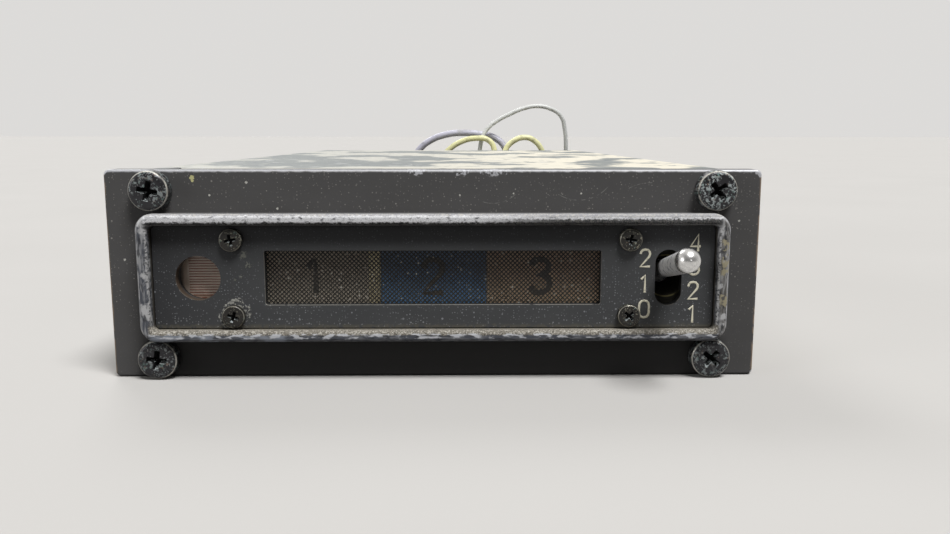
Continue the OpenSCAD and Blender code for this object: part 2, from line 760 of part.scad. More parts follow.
module cover_screws() {
    color("#6f7072")
        for (i = [0 : cover_screw_count - 1], s = [-1, 1])
            translate([s * case_w / 2, cover_screw_y(i), cover_screw_z]) rotate([0, -s * 90, 0])
                difference() {
                    union() {
                        cylinder(d1 = flat_head_d, d2 = cover_screw_d, h = flat_head_h);
                        cylinder(d = cover_screw_d, h = 6);
                    }
                    mirror([0, 0, 1]) rotate(15 * i) cross_recess(flat_head_d * 0.5, 0.7);
                }
}

// Press nuts inside the chassis's sides
module cover_nuts() {
    wall = inner_w / 2;
    color("#c2c4c6")
        for (i = [0 : cover_screw_count - 1], s = [-1, 1])
            difference() {
                x0 = s < 0 ? -wall : wall - cover_nut_t;
                bar_x(cover_screw_y(i), cover_screw_z, cover_nut_d, x0, x0 + cover_nut_t);
                bar_x(cover_screw_y(i), cover_screw_z, cover_screw_d + thread_gap,
                    x0 - cut, x0 + cover_nut_t + cut);
            }
}

function rivet_z() = [case_mid_z - 7, case_mid_z + 7];

// Rear panel with a flange bent forward at each side
module rear_panel() {
    color("#a9aba8") difference() {
        union() {
            box([-panel_half_w, panel_inner_y, panel_z0], [panel_half_w, rear_y, panel_z1]);
            for (s = [-1, 1]) {
                x0 = s < 0 ? -panel_half_w : panel_half_w - panel_t;
                box([x0, panel_inner_y - panel_flange_l, panel_z0 + 1.2],
                    [x0 + panel_t, rear_y - 0.1, panel_z1]);
            }
        }
        bar_y(jack_x, jack_z, jack_d - 0.1, panel_inner_y - cut, rear_y + cut);
        plate(panel_inner_y - cut, rear_y + cut) translate([socket_x, case_mid_z])
            square([socket_w + 2 * fit_gap, socket_h + 2 * fit_gap], center = true);
        for (s = [-1, 1], z = rivet_z())
            bar_x(rivet_y, z, rivet_d, s * panel_half_w - 2, s * panel_half_w + 2);
    }
}

module panel_rivets() {
    head_t = 0.7;
    color("#9a9c9e")
        for (s = [-1, 1], z = rivet_z()) {
            inner = panel_half_w - panel_t;
            x0 = s < 0 ? -chassis_w / 2 : inner;
            bar_x(rivet_y, z, rivet_d - 0.04, x0, x0 + chassis_w / 2 - inner);
            x1 = s < 0 ? -inner : inner - head_t;
            bar_x(rivet_y, z, rivet_d + 1.6, x1, x1 + head_t);
        }
}

// Circuit board and what it carries

// Depth of a step on the grid that the board's parts stand on, counted from its front edge
function step_y(n) = board_front_y + n * board_l / board_steps;

function board_points() = [for (sx = [-1, 1], y = board_hole_y) [sx * board_hole_x, y]];

function disc_points() = [for (i = [0 : 7]) [4 + 9 * (i % 2), step_y(55 - 4.25 * floor(i / 2))]];
function resistor_points() = [
    for (n = [9, 16], i = [0 : 5]) [board_left + 6 + 4 * i, step_y(n)],
    for (i = [0 : 3]) [board_right - 23 + 4 * i, step_y(9)]
];
function transistor_points() = [for (i = [0 : 5]) [board_left + 5 + 7 * i, step_y(22)]];
function circuit_points() = [for (x = [9, 21]) [board_right - x, step_y(20)]];
function regulator_point() = [inner_w / 2 - 7.15, step_y(10)];

// Places where a lead passes the board, with the hole's diameter
function lead_holes() = [
    for (p = disc_points(), s = [-1, 1]) [p[0] + s * disc_pitch / 2, p[1], disc_lead_d + lead_gap],
    for (p = resistor_points(), s = [-1, 1])
        [p[0], p[1] + s * resistor_pitch / 2, resistor_lead_d + lead_gap],
    for (p = transistor_points(), i = [-1 : 1]) [p[0] + i * leg_pitch, p[1], disc_lead_d + lead_gap],
    for (p = circuit_points(), s = [-1, 1], i = [-3 : 3])
        [p[0] + s * circuit_span / 2, p[1] + i * circuit_pitch, circuit_leg_w + lead_gap],
    for (i = [-1 : 1])
        [regulator_point()[0], regulator_point()[1] + i * circuit_pitch, circuit_leg_w + lead_gap]
];

module main_board() {
    color("#7d8440") difference() {
        box([-board_w / 2, board_front_y, board_z], [board_w / 2, board_back_y, board_top_z]);
        for (h = lead_holes())
            translate([h[0], h[1], board_z - cut]) cylinder(d = h[2], h = board_t + 2 * cut);
        for (p = board_points()) translate([p[0], p[1], board_z - cut])
            cylinder(d = board_screw_d + 0.3, h = board_t + 2 * cut);
        translate([socket_x, board_back_y, board_z + board_t / 2])
            cube([socket_w + 3, 6, board_t + 2 * cut], center = true);
    }
}

module board_standoffs() {
    color("#c7c9cb")
        for (p = board_points())
            difference() {
                translate([p[0], p[1], sheet_t]) cylinder(d = standoff_d, h = standoff_h);
                translate([p[0], p[1], sheet_t + 0.6])
                    cylinder(d = board_screw_d + thread_gap, h = standoff_h);
            }
}

module board_screws() {
    color("#8d8f92")
        for (p = board_points())
            translate([p[0], p[1], board_top_z]) pan_screw(4.2, 1.3, board_screw_d, 5, 20);
}

// Square can with a tuning hole, over each coil
module can(x, y) {
    translate([x, y, board_top_z]) difference() {
        linear_extrude(can_h) rounded_rect(9.6, 9.6, 0.8);
        translate([0, 0, can_h - 4]) cylinder(d = 3, h = 5);
    }
    translate([x, y, board_top_z + can_h - 4]) difference() {
        cylinder(d = 2.8, h = 2.6);
        translate([0, 0, 1.6]) cube([2.2, 0.5, 2.2], center = true);
    }
}

module shielding_cans() {
    color("#c9cbcc") {
        for (x = [9, 25], i = [0 : 2]) can(board_left + x, step_y(53 - 7 * i));
    }
}

module crystal_filter() {
    color("#b0b3b6") translate([board_left + 17, step_y(29), board_top_z]) {
        linear_extrude(10.5) rounded_rect(18, 8, 3.9);
        linear_extrude(0.8) rounded_rect(20, 9.4, 4.6);
    }
}

// Upright cans with a rolled waist near the foot
module electrolytic(x, y, d, h) {
    translate([x, y, board_top_z]) rotate_extrude() polygon([
        [0, 0], [d / 2, 0], [d / 2, h * 0.12], [d / 2 - 0.35, h * 0.16],
        [d / 2, h * 0.2], [d / 2, h - 0.5], [d / 2 - 0.5, h], [0, h]
    ]);
}

module electrolytic_capacitors() {
    color("#24364f") {
        for (i = [0 : 2]) electrolytic(board_right - 9, step_y(54.5 - 5.5 * i), 8, 12);
        for (i = [0 : 2]) electrolytic(4, step_y(11 + 4 * i), 6.3, 11);
    }
}

module disc_capacitors() {
    lift = 3.6;
    color("#c07a3a")
        for (p = disc_points())
            translate([p[0], p[1], board_top_z + lift]) {
                rotate([90, 0, 0]) cylinder(d = 6, h = 2, center = true);
                for (s = [-1, 1]) translate([s * disc_pitch / 2, 0, -lift - board_t - lead_below])
                    cylinder(d = disc_lead_d, h = lift + board_t + lead_below - 1);
            }
}

// Carbon resistor lying on its two leads
module resistor(p) {
    lift = 1.4;
    translate([p[0], p[1], board_top_z + lift]) {
        rotate([90, 0, 0]) cylinder(d = 2.2, h = 6, center = true);
        for (s = [-1, 1])
            translate([0, s * 2.6, 0]) rotate([90, 0, 0]) cylinder(d = 2.5, h = 1.2, center = true);
        rotate([90, 0, 0]) cylinder(d = resistor_lead_d, h = resistor_pitch, center = true);
        for (s = [-1, 1]) translate([0, s * resistor_pitch / 2, -lift - board_t - lead_below])
            cylinder(d = resistor_lead_d, h = lift + board_t + lead_below + resistor_lead_d / 2);
    }
}

module resistors() {
    color("#a77c52")
        for (p = resistor_points()) resistor(p);
}

// Plastic transistor with one flat side, on three legs
module transistor(p) {
    lift = 3;
    translate([p[0], p[1], board_top_z + lift]) {
        difference() {
            cylinder(d = 4.8, h = 4.6);
            translate([-3, 1.3, -cut]) cube([6, 3, 7]);
        }
        for (i = [-1 : 1]) translate([i * leg_pitch, 0, -lift - board_t - lead_below])
            cylinder(d = disc_lead_d, h = lift + board_t + lead_below + 0.1);
    }
}

module transistors() {
    color("#1b1b1c")
        for (p = transistor_points()) transistor(p);
}

// Dual in-line package with a notch and two rows of legs
module integrated_circuit(p) {
    body_l = 19;
    body_w = 6.4;
    leg_t = 0.3;
    lift = 0.8;
    translate([p[0], p[1], board_top_z + lift]) {
        difference() {
            translate([-body_w / 2, -body_l / 2, 0]) cube([body_w, body_l, 3.3]);
            translate([0, body_l / 2, 2.4]) cylinder(d = 2, h = 2);
        }
        for (s = [-1, 1], i = [-3 : 3])
            translate([s * circuit_span / 2 - leg_t / 2, i * circuit_pitch - circuit_leg_w / 2, 0]) {
                translate([0, 0, -lift - board_t - lead_below])
                    cube([leg_t, circuit_leg_w, lift + board_t + lead_below + 1.6]);
                translate([s > 0 ? -0.62 : 0, 0, 1.3]) cube([0.92, circuit_leg_w, leg_t]);
            }
    }
}

module integrated_circuits() {
    color("#202124")
        for (p = circuit_points()) integrated_circuit(p);
}

// Laminated core with its two windows
module transformer_core() {
    color("#6d6a64") translate([transformer_x, step_y(33), board_top_z]) difference() {
        translate([-9, -6, 0]) cube([18, 12, 14]);
        for (s = [-1, 1]) translate([s * 4.6 - 1.6, -7, 3]) cube([3.2, 14, 8]);
    }
}

module transformer_winding() {
    color("#b06a3c") translate([transformer_x, step_y(33), board_top_z + 3]) difference() {
        translate([-6.1, -9, 0.1]) cube([12.2, 18, 7.8]);
        translate([-3, -6.02, -cut]) cube([6, 12.04, 10]);
    }
}

// Preset resistors with a slotted rotor, sealed with lacquer once set
module trimmers() {
    color("#2d62a0")
        for (i = [0 : 2])
            translate([3.6, step_y(27.5 + 5.5 * i), board_top_z]) difference() {
                union() {
                    translate([-4.7, -4.7, 0]) cube([9.4, 9.4, 4.6]);
                    cylinder(d = 5.6, h = 5.6);
                }
                translate([-2.4, -0.4, 4.9]) cube([4.8, 0.8, 1]);
            }
}

// Power regulator stood on its tab beside the chassis's side
module regulator() {
    x = regulator_point()[0];
    y = regulator_point()[1];
    tab_l = 12.5;
    low_z = chassis_h - 1.7 - tab_l;
    color("#2a2b2d") {
        translate([x - 2.05, y - 5, low_z]) cube([4.4, 10, 9]);
        translate([x + 1.05, y - 5, low_z]) cube([1.3, 10, tab_l]);
        for (i = [-1 : 1]) translate([x - 0.25, y + i * circuit_pitch - 0.4, board_z - lead_below])
            cube([0.5, 0.8, low_z - board_z + lead_below + 0.9]);
    }
}

// Bent screen between the radio stages and the power stage
module shield_wall() {
    wall_t = 0.5;
    wall_h = 14;
    x = board_left + 31.2;
    y0 = step_y(34);
    color("#c4c1b0") {
        box([x, y0, board_top_z], [x + wall_t, step_y(57), board_top_z + wall_h]);
        box([board_left + 1, y0, board_top_z], [x + wall_t, y0 + wall_t, board_top_z + wall_h]);
    }
}

// Leads that the case holds all the way

module lamp_leads() {
    start_y = housing_back_y + board_t;
    low_z = board_top_z;
    color("#c8c2b2")
        for (i = [0 : 3]) {
            x0 = -12 + 8 * i;
            x1 = -12 + 6 * i;
            wire([
                [x0, start_y, row_z + 4.4], [x0, start_y + 2.2, row_z + 4.4],
                [x0, start_y + 4.6, row_z + 2.6],
                [(x0 + x1) / 2, start_y + 8, (row_z + low_z) / 2 + 2],
                [x1, board_front_y + 3, low_z + 3.4], [x1, board_front_y + 4.2, low_z + 1.8],
                [x1, board_front_y + 4.2, low_z]
            ], 1.2);
        }
}

module photocell_leads() {
    back = cell_front_y + cell_t + 1.2;
    low_z = board_top_z;
    color("#c9ccd0")
        for (s = [-1, 1]) {
            x1 = cell_x + 2.4 + s * 1.3;
            wire([
                [cell_x + s * 1.3, back, row_z], [cell_x + s * 1.3, back + 4, row_z],
                [cell_x + s * 1.3, back + 10, row_z - 0.6], [x1, board_front_y - 3, low_z + 3],
                [x1, board_front_y + 1, low_z + 2.4], [x1, board_front_y + 2.4, low_z + 1.4],
                [x1, board_front_y + 2.4, low_z]
            ], 0.6);
        }
}

module aerial_lead() {
    low_z = board_top_z;
    end_y = board_back_y - 10;
    color("#3a3a3c") wire([
        [jack_x, jack_shank_y, jack_z], [jack_x, jack_shank_y - 3, jack_z],
        [jack_x, jack_shank_y - 6, jack_z - 0.6], [jack_x, end_y + 2.6, low_z + 4.4],
        [jack_x, end_y, low_z + 2.4], [jack_x, end_y, low_z]
    ], 2.4);
}

// Aerial jack

module aerial_jack() {
    color("#b9b7ae") difference() {
        union() {
            bar_y(jack_x, jack_z, jack_d, rear_y, jack_back_y);
            bar_y(jack_x, jack_z, jack_flange_d, rear_y, rear_y + jack_flange_t);
            bar_y(jack_x, jack_z, jack_d - 0.2, jack_shank_y, rear_y + 0.1);
            bar_x(jack_back_y - 4.6, jack_z, lug_d,
                jack_x - jack_d / 2 - lug_rise, jack_x + jack_d / 2 + lug_rise);
        }
        bar_y(jack_x, jack_z, jack_bore_d, rear_y + 1, jack_back_y + cut);
        bar_y(jack_x, jack_z, 5, jack_shank_y - cut, rear_y + 2);
    }
}

module jack_nut() {
    color("#b9b7ae") difference() {
        translate([jack_x, panel_inner_y, jack_z]) rotate([90, 0, 0])
            cylinder(d = 12.7 / cos(30), h = 2.4, $fn = 6);
        bar_y(jack_x, jack_z, jack_d - 0.14, panel_inner_y - 4, panel_inner_y + cut);
    }
}

module jack_insulator() {
    color("#f0efe9") difference() {
        union() {
            bar_y(jack_x, jack_z, 4.9, jack_shank_y, jack_back_y - 2.5);
            bar_y(jack_x, jack_z, jack_bore_d - 0.1, rear_y + 1, rear_y + 2.6);
        }
        bar_y(jack_x, jack_z, 2.1, jack_shank_y - cut, jack_back_y + cut);
    }
}

module jack_contact() {
    color("#c9a44a") difference() {
        bar_y(jack_x, jack_z, 2.06, jack_shank_y, jack_back_y - 2);
        bar_y(jack_x, jack_z, 1.4, jack_back_y - 7, jack_back_y + cut);
    }
}

// Power socket and plug

module power_socket() {
    color("#d9d6c8") difference() {
        union() {
            plate(socket_front_y, socket_back_y) translate([socket_x, case_mid_z])
                rounded_rect(socket_w, socket_h, 1);
            plate(rear_y, rear_y + 1.4) translate([socket_x, case_mid_z])
                rounded_rect(socket_w + 3, min(socket_h + 3, panel_z1 - panel_z0), 1.5);
        }
        plate(socket_floor_y, socket_back_y + cut) translate([socket_x, case_mid_z])
            rounded_rect(plug_w + 2 * socket_play, plug_h + 2 * socket_play, 0.6);
        for (c = [0 : socket_cols - 1], r = [0 : socket_rows - 1])
            bar_y(cavity_x(c), cavity_z(r), socket_pin_d + 0.04, socket_front_y - cut, socket_floor_y + cut);
    }
}

module socket_pins() {
    color("#c9b45e")
        for (c = [0 : socket_cols - 1], r = [0 : socket_rows - 1])
            bar_y(cavity_x(c), cavity_z(r), socket_pin_d, socket_front_y - 4, plug_front_y + 5);
}

// Plug body with a wire cavity behind each pin and a latch on each side
module harness_plug() {
    latch_t = 1;
    color("#e7e3d3") difference() {
        union() {
            plate(plug_front_y, plug_back_y) translate([socket_x, case_mid_z])
                rounded_rect(plug_w, plug_h, 0.5);
            plate(socket_back_y + 0.4, socket_back_y + 2) translate([socket_x, case_mid_z])
                rounded_rect(socket_w, socket_h, 1);
            for (s = [-1, 1]) {
                x0 = s < 0 ? socket_x - socket_w / 2 - latch_t - 0.1 : socket_x + socket_w / 2 + 0.1;
                box([x0, rear_y + 2.4, case_mid_z - 2.5],
                    [x0 + latch_t, socket_back_y + 4, case_mid_z + 2.5]);
                x1 = s < 0 ? x0 : socket_x + socket_w / 2 - 1;
                box([x1, socket_back_y + 0.4, case_mid_z - 2.5],
                    [x1 + latch_t + 1.1, socket_back_y + 2, case_mid_z + 2.5]);
            }
        }
        for (c = [0 : socket_cols - 1], r = [0 : socket_rows - 1]) {
            bar_y(cavity_x(c), cavity_z(r), cavity_d, cavity_y, plug_back_y + cut);
            bar_y(cavity_x(c), cavity_z(r), socket_pin_d + 0.1, plug_front_y - cut, plug_front_y + 5.4);
        }
    }
}

// Free wires

function along(path, i) = path[min(i + 1, len(path) - 1)] - path[max(i - 1, 0)];
function unit(v) = v / norm(v);
function side_of(path, i, last) = let (t = unit(along(path, i))) unit(last - (last * t) * t);
function sides(path, i, last) = i >= len(path) ? [] :
    let (s = side_of(path, i, last)) concat([s], sides(path, i + 1, s));

// Tube swept along a path, its first ring square to the plug's face
module wire(path, d) {
    faces_round = 8;
    count = len(path);
    across = sides(path, 0, [1, 0, 0]);
    points = [
        for (i = [0 : count - 1], k = [0 : faces_round - 1])
            let (t = unit(along(path, i)), u = across[i], v = cross(t, u), a = 360 * (k + 0.5) / faces_round)
                path[i] + d / 2 * (cos(a) * u + sin(a) * v)
    ];
    skin = [
        for (i = [0 : count - 2], k = [0 : faces_round - 1])
            let (a = i * faces_round + k, b = i * faces_round + (k + 1) % faces_round)
                each [[a, a + faces_round, b], [b, a + faces_round, b + faces_round]]
    ];
    near_end = [[for (k = [0 : faces_round - 1]) k]];
    far_end = [[for (k = [0 : faces_round - 1]) (count - 1) * faces_round + faces_round - 1 - k]];
    polyhedron(points, concat(near_end, skin, far_end));
}

// Way out of one of the plug's cavities, then along the given points
function from_plug(col, row, way) = concat(
    [[cavity_x(col), cavity_y, cavity_z(row)], [cavity_x(col), plug_back_y + first_stretch, cavity_z(row)]],
    [for (p = way) [socket_x + p[0], plug_back_y + p[1], p[2]]]
);

module wire_clear() { color("#a8aaa6") wire(from_plug(0, 2, clear_way), clear_d); }

module wire_violet() { color("#8d8a9c") wire(from_plug(2, 1, violet_way), violet_d); }

module wire_yellow_a() { color("#c9c98a") wire(from_plug(1, 2, yellow_a_way), yellow_d); }

module wire_yellow_b() { color("#cfcf92") wire(from_plug(3, 2, yellow_b_way), yellow_d); }

front_bezel();
faceplate();
faceplate_screws();
corner_screws();
corner_blocks();
window_mesh();
clear_lens();
blue_lens();
amber_lens();
lamp_housing();
lamps();
lamp_board();
photocell();
photocell_leads();
switch_bushing();
switch_nut();
switch_body();
switch_lever();
lever_plunger();
lever_pin();
contact_rocker();
rocker_pin();
switch_terminals();
chassis();
top_cover();
cover_screws();
cover_nuts();
rear_panel();
panel_rivets();
main_board();
board_standoffs();
board_screws();
shielding_cans();
crystal_filter();
electrolytic_capacitors();
disc_capacitors();
resistors();
transistors();
integrated_circuits();
transformer_core();
transformer_winding();
trimmers();
regulator();
shield_wall();
lamp_leads();
aerial_lead();
aerial_jack();
jack_nut();
jack_insulator();
jack_contact();
power_socket();
socket_pins();
harness_plug();
wire_clear();
wire_violet();
wire_yellow_a();
wire_yellow_b();
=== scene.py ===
"""Looks of a light aircraft's marker beacon receiver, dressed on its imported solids.

The case, boards and connectors keep their solids and get their finishes here. The window's mesh,
the screws, the printed marks, the photocell's tracks and the free wires are modelled as pieces.
Sizes and places are in millimetres in the part's own frame, and MM turns them into metres.
"""

import logging
import math
from dataclasses import dataclass, replace
from enum import Enum
from typing import Callable, Sequence

import bpy
from mathutils import Matrix, Vector


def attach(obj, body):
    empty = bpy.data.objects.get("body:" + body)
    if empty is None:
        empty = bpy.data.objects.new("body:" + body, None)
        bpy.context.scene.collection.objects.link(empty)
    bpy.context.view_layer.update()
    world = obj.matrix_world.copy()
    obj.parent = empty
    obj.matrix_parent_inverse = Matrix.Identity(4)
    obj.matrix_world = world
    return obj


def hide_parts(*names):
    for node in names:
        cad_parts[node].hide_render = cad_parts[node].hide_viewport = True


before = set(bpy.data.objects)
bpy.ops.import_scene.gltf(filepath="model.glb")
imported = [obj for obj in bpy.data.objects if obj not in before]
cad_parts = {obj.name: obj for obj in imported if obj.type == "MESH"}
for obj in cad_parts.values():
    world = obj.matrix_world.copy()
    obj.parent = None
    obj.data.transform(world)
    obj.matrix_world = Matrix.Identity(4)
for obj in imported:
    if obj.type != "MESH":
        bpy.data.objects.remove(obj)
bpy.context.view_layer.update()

LOG = logging.getLogger("receiver")
MM = 0.001
# How far each call shifts its pattern from the last one, in cells along X, Y and Z.
SEED_STEPS = (7.31, 3.77, 5.19)
# Range that nearly all values of the noise lie in.
NOISE_SPREAD = 0.42
# How far a ragged edge wanders for each millimetre that it is asked to.
RAGGED_REACH = 1.2
SCRAPE_MM = 0.09
# Where the painted shade in a screw's recess begins, as a share of the head's height.
RECESS_DARK_SHARE = 0.98

Socket = bpy.types.NodeSocket
Mask = Socket | float
Material = bpy.types.Material
Piece = bpy.types.Object
Point = tuple[float, float, float]
Spots = tuple[Point, ...]
Layer = tuple[Mask, object] | tuple[Mask, object, float]


class Body(Enum):
    """Moving groups of the part."""

    CASE = "case"
    LEVER = "lever"
    ROCKER = "rocker"


class Axis(Enum):
    """Axes of the part's frame: X to the right, Y to the back and Z up."""

    X = "X"
    Y = "Y"
    Z = "Z"


X, Y, Z = Axis


def linear(code: str) -> tuple[float, float, float, float]:
    """Turn an sRGB hex colour into the linear one that shaders take.

    Args:
        code: Colour as "#rrggbb".

    Returns:
        Linear red, green, blue and an alpha of 1.
    """
    parts = [int(code[i:i + 2], 16) / 255 for i in (1, 3, 5)]
    red, green, blue = (c / 12.92 if c <= 0.04045 else ((c + 0.055) / 1.055) ** 2.4 for c in parts)
    return red, green, blue, 1.0


class Surface:
    """Node tree of a material or of the surroundings, with patterns measured on the object."""

    def __init__(self, name: str, world: bool = False) -> None:
        """Start an empty tree.

        Args:
            name: Name of the material or the world.
            world: Whether it is a world's tree.
        """
        self.owner = (bpy.data.worlds if world else bpy.data.materials).new(name)
        self.owner.use_nodes = True
        self.tree = self.owner.node_tree
        self.tree.nodes.clear()
        self.place = self.add("ShaderNodeTexCoord").outputs["Generated" if world else "Object"]
        self.seed = 0

    def add(self, kind: str, inputs: dict | None = None, **settings: object) -> bpy.types.Node:
        """Add a node.

        Args:
            kind: Blender's name of the node.
            inputs: Values or sockets for its inputs, by name or number.
            settings: Values of its own settings.

        Returns:
            The new node.
        """
        node = self.tree.nodes.new(kind)
        for key, value in settings.items():
            setattr(node, key, value)
        for key, value in (inputs or {}).items():
            if isinstance(value, Socket):
                self.tree.links.new(value, node.inputs[key])
            else:
                node.inputs[key].default_value = value
        return node

    def spread(self, size_mm: float, stretch: Point = (1, 1, 1)) -> Socket:
        """Scale the object's coordinates so that a pattern's unit is a real size.

        Args:
            size_mm: Size of one cell of the pattern.
            stretch: How much longer the cells are along X, Y and Z.

        Returns:
            Scaled coordinates, shifted differently at each call.
        """
        self.seed += 1
        scale = [1 / (size_mm * MM * s) for s in stretch]
        shift = [step * self.seed for step in SEED_STEPS]
        inputs = {"Vector": self.place, "Scale": scale, "Location": shift}
        return self.add("ShaderNodeMapping", inputs).outputs["Vector"]

    def cloud(self, size_mm: float, detail: float = 2.0, stretch: Point = (1, 1, 1)) -> Socket:
        """Smooth random variation from 0 to 1, in swells of a size, with octaves of detail."""
        inputs = {"Vector": self.spread(size_mm, stretch), "Scale": 1.0, "Detail": detail}
        return self.add("ShaderNodeTexNoise", inputs).outputs["Fac"]

    def ramp(self, value: Socket, low: float, high: float, bottom: float = 0.0, top: float = 1.0) -> Socket:
        """Smooth step from bottom at low to top at high, which may be below low."""
        inputs = {"Value": value, "From Min": low, "From Max": high, "To Min": bottom, "To Max": top}
        return self.add("ShaderNodeMapRange", inputs, interpolation_type="SMOOTHSTEP").outputs["Result"]

    def patches(self, size_mm: float, share: Mask, soft: float = 0.03, detail: float = 3.0,
                stretch: Point = (1, 1, 1)) -> Socket:
        """Ragged patches that cover about a share of the surface.

        Args:
            size_mm: Size of a patch.
            share: Part of the surface that they cover, 0 to 1.
            soft: Softness of their edges.
            detail: Octaves of raggedness.
            stretch: How much longer they are along X, Y and Z.

        Returns:
            Mask that is 1 in the patches.
        """
        value = self.cloud(size_mm, detail, stretch)
        if isinstance(share, Socket):
            value = self.add("ShaderNodeMath", {0: share, 1: NOISE_SPREAD, 2: value},
                             operation="MULTIPLY_ADD").outputs[0]
            share = 0.0
        edge = 0.5 + (0.5 - share) * NOISE_SPREAD
        return self.ramp(value, edge - soft, edge + soft)

    def specks(self, size_mm: float, apart_mm: float, share: float, flat: bool = True) -> Socket:
        """Scattered grains, some larger and some smaller.

        Args:
            size_mm: Usual size of a grain.
            apart_mm: Distance between the places where one may be.
            share: Part of those places that hold one.
            flat: Whether they lie on a face that looks along Y.

        Returns:
            Mask that is 1 on the grains.
        """
        at = self.spread(apart_mm)
        if flat:
            parts = self.add("ShaderNodeSeparateXYZ", {"Vector": at}).outputs
            at = self.add("ShaderNodeCombineXYZ", {"X": parts["X"], "Y": parts["Z"]}).outputs[0]
        cells = self.add("ShaderNodeTexVoronoi", {"Vector": at, "Scale": 1.0},
                         voronoi_dimensions="2D" if flat else "3D").outputs
        chance = self.add("ShaderNodeSeparateColor", {"Color": cells["Color"]}).outputs
        ratio = size_mm / apart_mm
        size = self.add("ShaderNodeMath", {0: chance["Green"], 1: ratio, 2: 0.5 * ratio},
                        operation="MULTIPLY_ADD").outputs[0]
        grain = self.ramp(self._fold("DIVIDE", (cells["Distance"], size)), 0.6, 0.4)
        return self.times(grain, self.ramp(chance["Red"], share, share * 0.8))

    def lines(self, apart_mm: float, width_mm: float, share: float) -> Socket:
        """Fine random scratches.

        Args:
            apart_mm: Distance between scratches.
            width_mm: Width of a scratch.
            share: Part of the surface that they reach.

        Returns:
            Mask that is 1 in the scratches.
        """
        inputs = {"Vector": self.spread(apart_mm, (1.6, 1, 0.8)), "Scale": 1.0}
        cells = self.add("ShaderNodeTexVoronoi", inputs, feature="DISTANCE_TO_EDGE").outputs["Distance"]
        half = 0.5 * width_mm / apart_mm
        return self.times(self.ramp(cells, half * 1.5, half * 0.5), self.patches(apart_mm * 0.7, share, 0.02))

    def band(self, axis: Axis, low_mm: float, high_mm: float, ragged_mm: float = 0.0,
             grain_mm: float = 0.6) -> Socket:
        """Mask that rises from 0 to 1 between two places along an axis.

        Args:
            axis: The axis.
            low_mm: Where it is 0.
            high_mm: Where it is 1, which may be below low_mm.
            ragged_mm: How far its edge wanders.
            grain_mm: Size of the wandering.

        Returns:
            The mask.
        """
        along = self.add("ShaderNodeSeparateXYZ", {"Vector": self.place}).outputs[axis.value]
        if ragged_mm:
            along = self._sway(along, grain_mm, RAGGED_REACH * ragged_mm)
        return self.ramp(along, low_mm * MM, high_mm * MM)

    def _sway(self, value: Socket, size_mm: float, reach_mm: float) -> Socket:
        """Make a distance wander.

        Args:
            value: The distance.
            size_mm: Size of a swell of the wandering.
            reach_mm: How far it goes to either side.

        Returns:
            The wandering distance.
        """
        inputs = {0: self.cloud(size_mm, 3.0), 1: 2 * reach_mm * MM, 2: -reach_mm * MM}
        sway = self.add("ShaderNodeMath", inputs, operation="MULTIPLY_ADD").outputs[0]
        return self._fold("ADD", (value, sway))

    def facing(self, axis: Axis, low: float, high: float) -> Socket:
        """Mask of what faces along an axis, by the normal's part on it."""
        normal = self.add("ShaderNodeNewGeometry").outputs["Normal"]
        return self.ramp(self.add("ShaderNodeSeparateXYZ", {"Vector": normal}).outputs[axis.value], low, high)

    def near(self, y: float, ragged: float, *spots: Point) -> Socket:
        """Mask of ragged spots on a face that looks along Y.

        Args:
            y: Place of that face.
            ragged: How ragged the spots' edges are.
            spots: X, Z and radius of each.

        Returns:
            Mask that is 1 in the spots.
        """
        masks = []
        for x, z, radius in spots:
            gap = self.add("ShaderNodeVectorMath", {0: self.place, 1: (x * MM, y * MM, z * MM)},
                           operation="DISTANCE").outputs["Value"]
            edge = self._sway(gap, radius * 0.7, ragged * radius)
            masks.append(self.ramp(edge, radius * MM * 1.06, radius * MM * 0.9))
        return self.most(*masks)

    def arc(self, y: float, x: float, z: float, radius: float, *about: float) -> Socket:
        """Thin curved scrape: a circle about x and z, shown only near the spot about."""
        return self.times(self.ring(x, z, radius, SCRAPE_MM), self.near(y, 0.3, about))

    def ring(self, x: float, z: float, radius: float, width: float) -> Socket:
        """Mask of a ring about an axis along Y.

        Args:
            x: Place of the axis.
            z: Its height.
            radius: Outer radius of the ring.
            width: Width of the ring.

        Returns:
            Mask that is 1 in the ring.
        """
        gap = self._from_axis(x, z)
        inner = self.ramp(gap, (radius - width * 1.2) * MM, (radius - width * 0.8) * MM)
        return self.times(inner, self.ramp(gap, (radius + width * 0.2) * MM, (radius - width * 0.2) * MM))

    def well(self, x: float, z: float, radius: float, top: float) -> Socket:
        """Mask of what lies behind the plane Y = top, within a radius of an axis along Y."""
        near = self.ramp(self._from_axis(x, z), radius * MM, radius * 0.95 * MM)
        return self.times(near, self.band(Y, top, top + 0.06), self.band(Y, top + 2.0, top + 1.9))

    def _from_axis(self, x: float, z: float) -> Socket:
        """Distance from an axis along Y.

        Args:
            x: Place of the axis.
            z: Its height.

        Returns:
            The distance in metres.
        """
        flat = self.add("ShaderNodeVectorMath", {0: self.place, 1: (1, 0, 1)}, operation="MULTIPLY")
        inputs = {0: flat.outputs[0], 1: (x * MM, 0, z * MM)}
        return self.add("ShaderNodeVectorMath", inputs, operation="DISTANCE").outputs["Value"]

    def times(self, *masks: Mask) -> Mask:
        """Product of masks."""
        return self._fold("MULTIPLY", masks)

    def most(self, *masks: Mask) -> Mask:
        """Largest of masks."""
        return self._fold("MAXIMUM", masks)

    def without(self, mask: Mask) -> Mask:
        """Opposite of a mask."""
        return self._fold("SUBTRACT", (1.0, mask))

    def _fold(self, operation: str, masks: Sequence[Mask]) -> Mask:
        """Join masks two by two with one operation.

        Args:
            operation: Blender's name of the operation.
            masks: Masks or plain numbers.

        Returns:
            The joined mask.
        """
        result = masks[0]
        for mask in masks[1:]:
            result = self.add("ShaderNodeMath", {0: result, 1: mask}, operation=operation).outputs[0]
        return result

